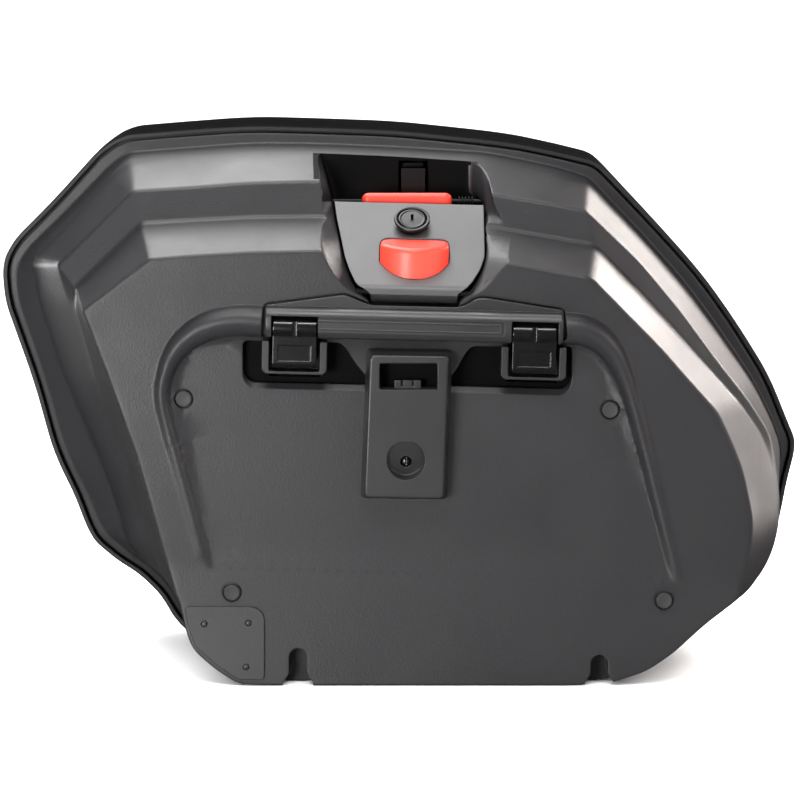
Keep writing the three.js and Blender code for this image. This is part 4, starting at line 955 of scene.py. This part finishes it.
def capped_prism(poly, x0, x1, r, gear=False, seg=4):
    """Block with a [y, z] outline whose two ends are rounded over."""
    p = arr(poly)
    rows = []
    for k in range(seg + 1):
        a = math.pi / 2 * k / seg
        rows.append((x0 + r * (1 - math.sin(a)), r * (1 - math.cos(a))))
    ends = [(x0 + r - r * math.cos(math.pi / 2 * k / seg), r - r * math.sin(math.pi / 2 * k / seg)) for k in range(seg + 1)]
    rings = []
    for x, d in ends:
        q = offset(p, -d) if d > 1e-6 else p
        rings.append(np.stack([np.full(len(q), x), q[:, 0], q[:, 1]], 1))
    for x, d in reversed(ends):
        q = offset(p, -d) if d > 1e-6 else p
        rings.append(np.stack([np.full(len(q), x1 - (x - x0)), q[:, 0], q[:, 1]], 1))
    return loft(rings, gear)


HOOK_W = 29.0
for k, side in enumerate(("left", "right")):
    u, w = HOOK_U[k], HOOK_W / 2
    prof = round_poly([(-115.9, -4), (-115.7, -27.8), (-114.6, -30.2), (-105.5, -30.2), (-104.8, -27.6), (-113.6, -26.8), (-113.8, -4)], 1.6, 4)
    blade = capped_prism(prof, u - w, u + w, 0.5, gear=True)
    barrel = rod('x', 8.2, u - w, u + w, (SHAFT_Y, SHAFT_V), seg=72, gear=True, edge=0.8)
    hook = join(barrel, blade)
    hook = cut(hook, rod('x', 3.35, u - 20, u + 20, (SHAFT_Y, SHAFT_V), seg=32, gear=True),
               soft_block(u - 1.7, u + 1.7, -121, -116.2, -9, 3, 0.7, gear=True),
               soft_block(u - 11.0, u + 11.0, -120, -115.3, -25.6, -15.0, 0.5, gear=True))
    piece("hook_" + side + "_visual", hook, "hooks", HOOK, ("hook_" + side,), angle=35)
    g = round_poly([(u - 21.5, -12.5), (u - 21.5, -32), (u - 19, -34.5), (u + 19, -34.5), (u + 21.5, -32), (u + 21.5, -12.5),
                    (u + 16.6, -12.5), (u + 16.6, -32.4), (u - 16.6, -32.4), (u - 16.6, -12.5)], 1.0, 4)
    guide = loft([at(g, -94.4), at(g, -112.0), at(offset(g, -0.45), -112.5)], gear=True)
    piece("guide_" + side + "_visual", guide, "base", GUIDE, ("hook_guide_" + side,), angle=35)

# ------------------------------------------------------------------ carrying flap, lock, button
PIN_Y, PIN_V, HUB_R, FLAP_T = -103.6, 20.8, 6.8, 3.4
N = np.array([-0.6346, 0.7728])
S = np.array([0.7728, 0.6346])
TAN = np.array([PIN_Y, PIN_V]) + HUB_R * N
LOCK_U, LOCK_S = -2.7, 57.6


def on_face(s, n):
    return TAN + S * s + N * n


def lock_space(me):
    o = on_face(LOCK_S, 0)
    m = Matrix(((1, 0, 0, LOCK_U), (0, S[0], N[0], o[0]), (0, S[1], N[1], o[1]), (0, 0, 0, 1)))
    me.transform(GEAR @ m)
    return me


def lathe(profile, seg=56, closed=False):
    """Turned body about Z from [r, z] points."""
    verts, faces = [], []
    for r, z in profile:
        for i in range(seg):
            a = 2 * math.pi * i / seg
            verts.append((r * math.cos(a), r * math.sin(a), z))
    m = len(profile)
    for k in range(m if closed else m - 1):
        l = (k + 1) % m
        for i in range(seg):
            j = (i + 1) % seg
            faces.append((k * seg + i, k * seg + j, l * seg + j, l * seg + i))
    if not closed:
        faces.append(tuple(range(seg)))
        faces.append(tuple(range((m - 1) * seg, m * seg)))
    return outward(mesh_from(verts, faces))


BU = dict(u=-0.7, half=22.8, front=-103.4, back=-74.0, r=27.0, low=29.3, high=53.9, low_high=49.3)


def button_outline(g, steps=26):
    cy = BU['front'] + BU['r']
    h, r = BU['half'] + g, BU['r'] + g
    out = [(BU['u'] + h, BU['back'] + g)]
    a0 = math.acos(h / r)
    for i in range(steps + 1):
        a = a0 + (math.pi - 2 * a0) * i / steps
        out.append((BU['u'] + r * math.cos(a), cy - r * math.sin(a)))
    out.append((BU['u'] - h, BU['back'] + g))
    return arr(out)


def button_ring(g, v, slope=True):
    p = button_outline(g)
    p = round_poly(p, 6.5, 5)
    if callable(v):
        vv = v(p[:, 1])
    else:
        vv = np.full(len(p), float(v))
    return np.stack([p[:, 0], p[:, 1], vv], 1)


def top_v(drop):
    return lambda y: BU['low_high'] + (BU['high'] - BU['low_high']) * (y - BU['front']) / (BU['back'] - BU['front']) - drop


def build_flap():
    edge = [(-17.6, 249), (-19.2, 258.4), (-19.4, 260), (-20.9, 262), (-23.4, 263.8), (-26.7, 265.4), (-29.2, 267.5), (-33.2, 275),
            (-36.5, 283), (-38.6, 292), (-42.4, 307), (-44.3, 318), (-44.6, 322), (56.4, 322), (56.2, 283), (53, 275),
            (47.5, 267.5), (45.2, 265.4), (43.5, 263.8), (40.6, 262), (38, 260), (37.8, 258.4), (36.4, 249)]
    e = round_poly([to_uv(*p) for p in edge], 2.6, 4)
    top = TAN + S * 78.5
    prof = [tuple(TAN), tuple(top), tuple(top - N * FLAP_T), tuple(TAN - N * FLAP_T)]
    me = join(prism_yz(prof, -60, 60, gear=True), rod('x', HUB_R, -60, 60, (PIN_Y, PIN_V), seg=72, gear=True))
    me = both(me, prism_xz(e, -140, 0, gear=True))
    me = join(me, block(-24, 25, -100.5, -78, PIN_V - 5.4, PIN_V - 3.2, gear=True))
    hole = lock_space(lathe([(9.9, -8), (9.9, 8)]))
    slot_ = loft([button_ring(0.5, PIN_V + 4), button_ring(0.5, 100)], gear=True)
    return cut(me, rod('x', 2.15, -60, 60, (PIN_Y, PIN_V), gear=True), hole, slot_)


# hub faces low under the flap, which sit in shadow, get the darker cover material as painted shade
def in_hub_shade(c, n):
    return c[2] < 259.4 and c[1] < -104


# the flap's hub faces carry painted shade in the darker cover material
piece("flap_visual", build_flap(), "handle", FLAP, ("handle_flap",), angle=30, second=COVER, where=in_hub_shade)

LOCKDARK = material("lock_black", (0.004, 0.004, 0.0045), 0.3, grain=900, bump=0.06, rough_var=0.06, wear=0.3, bevel=0.4, spec=0.32,
                    wear_color=(0.12, 0.12, 0.12))
ring_prof = [(9.9, 0.35), (10.4, 0.35), (10.7, 1.4), (11.2, 2.8), (11.9, 4.1), (12.15, 4.7), (12.2, 5.1), (12.0, 5.5), (11.5, 5.75), (10.8, 5.8), (10.1, 5.6), (9.9, 5.4)]
piece("lock_ring_visual", lock_space(lathe(ring_prof, closed=True)), "handle", LOCKDARK, ("lock_ring",), angle=45)
face = lathe([(0.02, -15.6), (9.0, -15.6), (9.5, -15.2), (9.5, 4.6), (9.35, 5.2), (8.9, 5.6), (8.3, 5.75), (7.9, 5.75), (7.5, 5.45), (7.2, 5.4), (3, 5.55), (0.02, 5.6)])
key = block(-0.95, 0.95, -4.2, 4.2, 2.6, 9)
lock_face = cut(face, key)
piece("lock_face_visual", lock_space(lock_face), "lock", LOCKDARK, ("lock_cylinder",), angle=40)

rings = [button_ring(-0.6, BU['low']), button_ring(0, BU['low'] + 0.6)]
for g, d in ((0, 3.2), (-0.2, 2.0), (-0.65, 1.1), (-1.4, 0.42), (-2.4, 0.1), (-3.6, 0.0)):
    rings.append(button_ring(g, top_v(d)))
piece("button_visual", loft(rings, gear=True), "button", RED, ("release_button",), angle=50)

prof = round_poly([(-40.5, 309), (-41, 320.6), (-38.6, 322.6), (-28, 320.6), (-24, 318.6), (-23.6, 313.6), (-27, 312), (-35, 309)], 1.6, 4)
lever = cut(capped_prism(prof, -25.7, 35.2, 4.6, seg=7), rod('x', 1.95, -60, 60, (-27, 316)))
piece("lever_visual", lever, "lever", RED, ("lid_lever",), angle=40)

# ------------------------------------------------------------------ bracket, corner plate, pads
BRK = [(-19.3, 220.6), (31.5, 219.8), (28.3, 126.3), (-23.1, 127)]


DULL = material("dulled_steel", (0.16, 0.16, 0.165), 0.42, grain=700, bump=0.1, wear=0.3, metal=1.0, bevel=0.3, wear_color=(0.4, 0.4, 0.4))


def build_bracket():
    def ring(d, y):
        p = round_poly(offset(BRK, d), 3.6, 5)
        return at(p, y if np.isscalar(y) else y(p[:, 1]))
    body = loft([ring(3, lambda z: field_y(z) - 0.4), ring(2.4, -110), ring(1.0, -116.5), ring(0.5, -118.8), ring(0.2, -119.5), ring(-0.4, -119.9), ring(-1.1, -120)])
    rec = lathe([(12.6, -7), (12.6, 6.4), (12.2, 6.9), (11.6, 7)])
    rec.transform(Matrix.Translation((3.9, -123.1, 150.5)) @ Matrix.Rotation(0.3, 4, 'X') @ Matrix.Rotation(-math.pi / 2, 4, 'X'))
    body = cut(body, prism_xz(rounded(-13.1, 24.3, 198.6, 215.2, 0.8), -125, -105.5), rec, rod('y', 3.8, -130, -107, (3.9, 149.9)))
    # chamfered mouth of the socket
    body = cut(body, loft([at(rounded(-14.1, 25.3, 197.6, 216.2, 1.2), -120.5), at(rounded(-13.1, 24.3, 198.6, 215.2, 0.8), -119.0)]))
    tab = cut(block(-3.6, 13.8, -114, -105, 198, 203.6), block(0.6, 2.4, -116, -111, 199.5, 205), block(7.8, 9.6, -116, -111, 199.5, 205))
    return join(body, tab)


# faces inside the bracket's socket, which get the near-black painted-shade material
def in_socket_shade(c, n):
    return c[1] > -118.9 and -13.4 < c[0] < 24.6 and 198.2 < c[2] < 215.6 and not (-3.7 < c[0] < 13.9 and c[2] < 203.7 and c[1] < -105.6)


piece("bracket_visual", build_bracket(), "base", COVER, ("mounting_bracket",), angle=35, second=POCKET_SHADE, where=in_socket_shade)
screw = lathe([(0.02, 0), (2.2, 0), (2.2, 3.4), (3.4, 3.4), (3.5, 4.0), (3.2, 5.2), (2.4, 6.2), (1.3, 6.8), (0.02, 7.0)], seg=40)
screw.transform(Matrix.Translation((3.9, -107.4, 149.9)) @ Matrix.Rotation(math.pi / 2, 4, 'X'))
screw = cut(screw, block(3.4, 4.4, -118, -112.6, 147.4, 152.4))
piece("screw_visual", screw, "base", DULL, ("bracket_screw",), angle=40)

LEAN = Matrix.Translation((0, FOOT_Y, 0)) @ Matrix.Rotation(-math.atan(10 / crease_at(-118.0)), 4, 'X')
PLATE_XZ = [(-142.4, 52.6), (-141, 40), (-135.8, 26), (-121.8, 13.8), (-107.5, 4), (-90, 4), (-90, 44), (-91, 47.6), (-93.6, 50.6), (-98.4, 52.6)]
RIVETS = [(-129.9, 41), (-100.6, 41.6), (-102.1, 12.4)]
pl = round_poly(PLATE_XZ, 2.5, 4)
plate = loft([at(pl, -0.35), at(pl, -1.3), at(offset(pl, -0.4), -1.7)])
plate = cut(plate, *[rod('y', 2.2, -3, 1, r) for r in RIVETS])
plate.transform(LEAN)
piece("plate_visual", plate, "base", PLATE, ("corner_plate",), angle=35)
for i, (x, z) in enumerate(RIVETS):
    r = lathe([(0.02, 0.35), (1.85, 0.35), (1.85, 1.5), (1.6, 1.95), (1.0, 2.1), (0.02, 2.15)], seg=24)
    r.transform(LEAN @ Matrix.Translation((x, 0, z)) @ Matrix.Rotation(math.pi / 2, 4, 'X'))
    piece("rivet_%d_visual" % (i + 1), r, "base", GUIDE, ("plate_rivet_%d" % (i + 1),), angle=40)

PADS = [(-143.1, 190.1), (139.2, 182.8), (-111.6, 61.6), (175.4, 56.2)]
for i, (x, z) in enumerate(PADS):
    base_y = (field_y(z) if z > 90 else float(wall_base(np.array([x]), np.array([z]))[0])) - 0.4
    front = field_y(z) - 2.6 if z > 90 else -113.2
    h = base_y - front
    pr = [(0.02, 0), (5.4, 0), (5.4, h - 0.9), (5.2, h - 0.35), (4.7, h - 0.05), (4.2, h), (3.9, h - 0.25), (0.02, h - 0.25)]
    r = lathe(pr, seg=40)
    r.transform(Matrix.Translation((x, base_y, z)) @ Matrix.Rotation(math.pi / 2, 4, 'X'))
    piece("pad_%d_visual" % (i + 1), r, "base", PAD, ("pad_%d" % (i + 1),), angle=40)

# the small metal and inner pieces keep the CAD's own shape
BLACKENED = material("blackened_steel", (0.006, 0.006, 0.0065), 0.55, grain=800, bump=0.1, wear=0.3, metal=0.0, spec=0.15, bevel=0.3, wear_color=(0.3, 0.3, 0.3))
for name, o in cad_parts.items():
    if name in ("latch_bolt", "lever_pin", "lever_spring", "handle_pin", "hook_shaft", "lock_cam", "striker_plate"):
        mat = BLACKENED
    elif name in ("inner_shell", "lid_shell", "mechanism_cover", "corner_plate"):
        mat = SHELL
    else:
        mat = STEEL
    o.data.materials.clear()
    o.data.materials.append(mat)

# ------------------------------------------------------------------ studio
def backdrop():
    prof = [(-7.0, 0.0), (2.2, 0.0)]
    for i in range(1, 13):
        a = math.pi / 2 * i / 12
        prof.append((2.2 + 1.2 * math.sin(a), 1.2 - 1.2 * math.cos(a)))
    prof.append((3.4, 4.5))
    verts, faces = [], []
    for x in np.linspace(-6, 6, 13):
        for y, z in prof:
            verts.append((x, y, z - 0.0004))
    m = len(prof)
    for i in range(12):
        for j in range(m - 1):
            faces.append((i * m + j, (i + 1) * m + j, (i + 1) * m + j + 1, i * m + j + 1))
    me = mesh_from(verts, faces, "floor")
    for p in me.polygons:
        p.use_smooth = True
    o = bpy.data.objects.new("floor", me)
    bpy.context.scene.collection.objects.link(o)
    m_ = bpy.data.materials.new("studio_floor")
    m_.use_nodes = True
    nt = m_.node_tree
    b = nt.nodes['Principled BSDF']
    b.inputs['Roughness'].default_value = 0.9
    b.inputs['Specular IOR Level'].default_value = 0.1
    nz = node(nt, 'ShaderNodeTexNoise')
    nz.inputs['Scale'].default_value = 3.0
    mx = node(nt, 'ShaderNodeMix', data_type='RGBA')
    mx.inputs[6].default_value = (0.90, 0.90, 0.905, 1)
    mx.inputs[7].default_value = (0.93, 0.93, 0.93, 1)
    nt.links.new(nz.outputs[0], mx.inputs[0])
    nt.links.new(mx.outputs[2], b.inputs['Base Color'])
    me.materials.append(m_)


backdrop()


def lamp(name, loc, target, size, power, color=(1, 1, 1), size_y=None):
    d = bpy.data.lights.new(name, 'AREA')
    d.shape = 'RECTANGLE'
    d.size = size
    d.size_y = size_y or size
    d.energy = power
    d.color = color
    o = bpy.data.objects.new(name, d)
    bpy.context.scene.collection.objects.link(o)
    o.location = loc
    o.rotation_euler = (Vector(target) - Vector(loc)).to_track_quat('-Z', 'Y').to_euler()
    return o


lamp("key_left", (-0.66, -1.45, 0.16), (-0.12, -0.1, 0.2), 0.5, 19, (1, 0.995, 0.99), 0.5)
top = lamp("overhead", (-0.25, 0.3, 1.35), (-0.02, -0.05, 0.28), 0.9, 25, (1, 1, 1), 1.1)
front = lamp("front_top", (-0.1, -0.95, 1.45), (0, -0.05, 0.28), 0.9, 17, (1, 1, 1), 0.4)
lamp("back_left", (-1.5, 0.9, 0.30), (-0.2, -0.05, 0.2), 0.5, 11, (1, 1, 1), 0.7)
lamp("back_right", (1.5, 0.75, 0.25), (0.2, -0.05, 0.2), 0.5, 9, (1, 0.92, 0.88), 0.7)
brt = lamp("back_right_top", (1.1, 0.85, 0.95), (0.15, -0.05, 0.25), 0.5, 30, (1, 0.92, 0.88), 0.5)
lamp("right_front", (1.4, -0.85, 0.80), (0.2, -0.05, 0.2), 0.5, 8, (1, 0.92, 0.88), 0.8)
ff = lamp("floor_light", (0, 0.0, 3.2), (0, 0.3, 0), 10.0, 900, (1, 1, 1), 10.0)
not_lid = bpy.data.collections.new("overhead_skips")
for o_ in ("lid_visual", "latch_bolt"):
    not_lid.objects.link(bpy.data.objects[o_])
top.light_linking.receiver_collection = not_lid
front.light_linking.receiver_collection = not_lid
brt.light_linking.receiver_collection = not_lid
for m_ in not_lid.collection_objects:
    m_.light_linking.link_state = 'EXCLUDE'
lamp("lid_top", (-0.5, -0.2, 1.6), (-0.1, 0.05, 0.3), 0.9, 2.0, (1, 1, 1), 0.9)
bpy.data.objects["floor"].visible_glossy = False
only_floor = bpy.data.collections.new("floor_only")
only_floor.objects.link(bpy.data.objects["floor"])
ff.light_linking.receiver_collection = only_floor

w = bpy.data.worlds.new("studio")
bpy.context.scene.world = w
w.use_nodes = True
w.node_tree.nodes['Background'].inputs[0].default_value = (1, 1, 1, 1)
w.node_tree.nodes['Background'].inputs[1].default_value = 0.05

cam = bpy.data.cameras.new("main_camera")
cam.lens = 149.35
cam.sensor_width = 36
cam.clip_end = 60
co = bpy.data.objects.new("main_camera", cam)
bpy.context.scene.collection.objects.link(co)
E = math.radians(7.0)
target = Vector((0, 0, 0.176635))
co.location = target + Vector((0, -math.cos(E), math.sin(E))) * 2.3
co.rotation_euler = (target - co.location).to_track_quat('-Z', 'Y').to_euler()
bpy.context.scene.camera = co
bpy.context.scene.view_settings.view_transform = 'Standard'
bpy.context.scene.view_settings.look = 'None'
bpy.context.scene.view_settings.exposure = 0.0
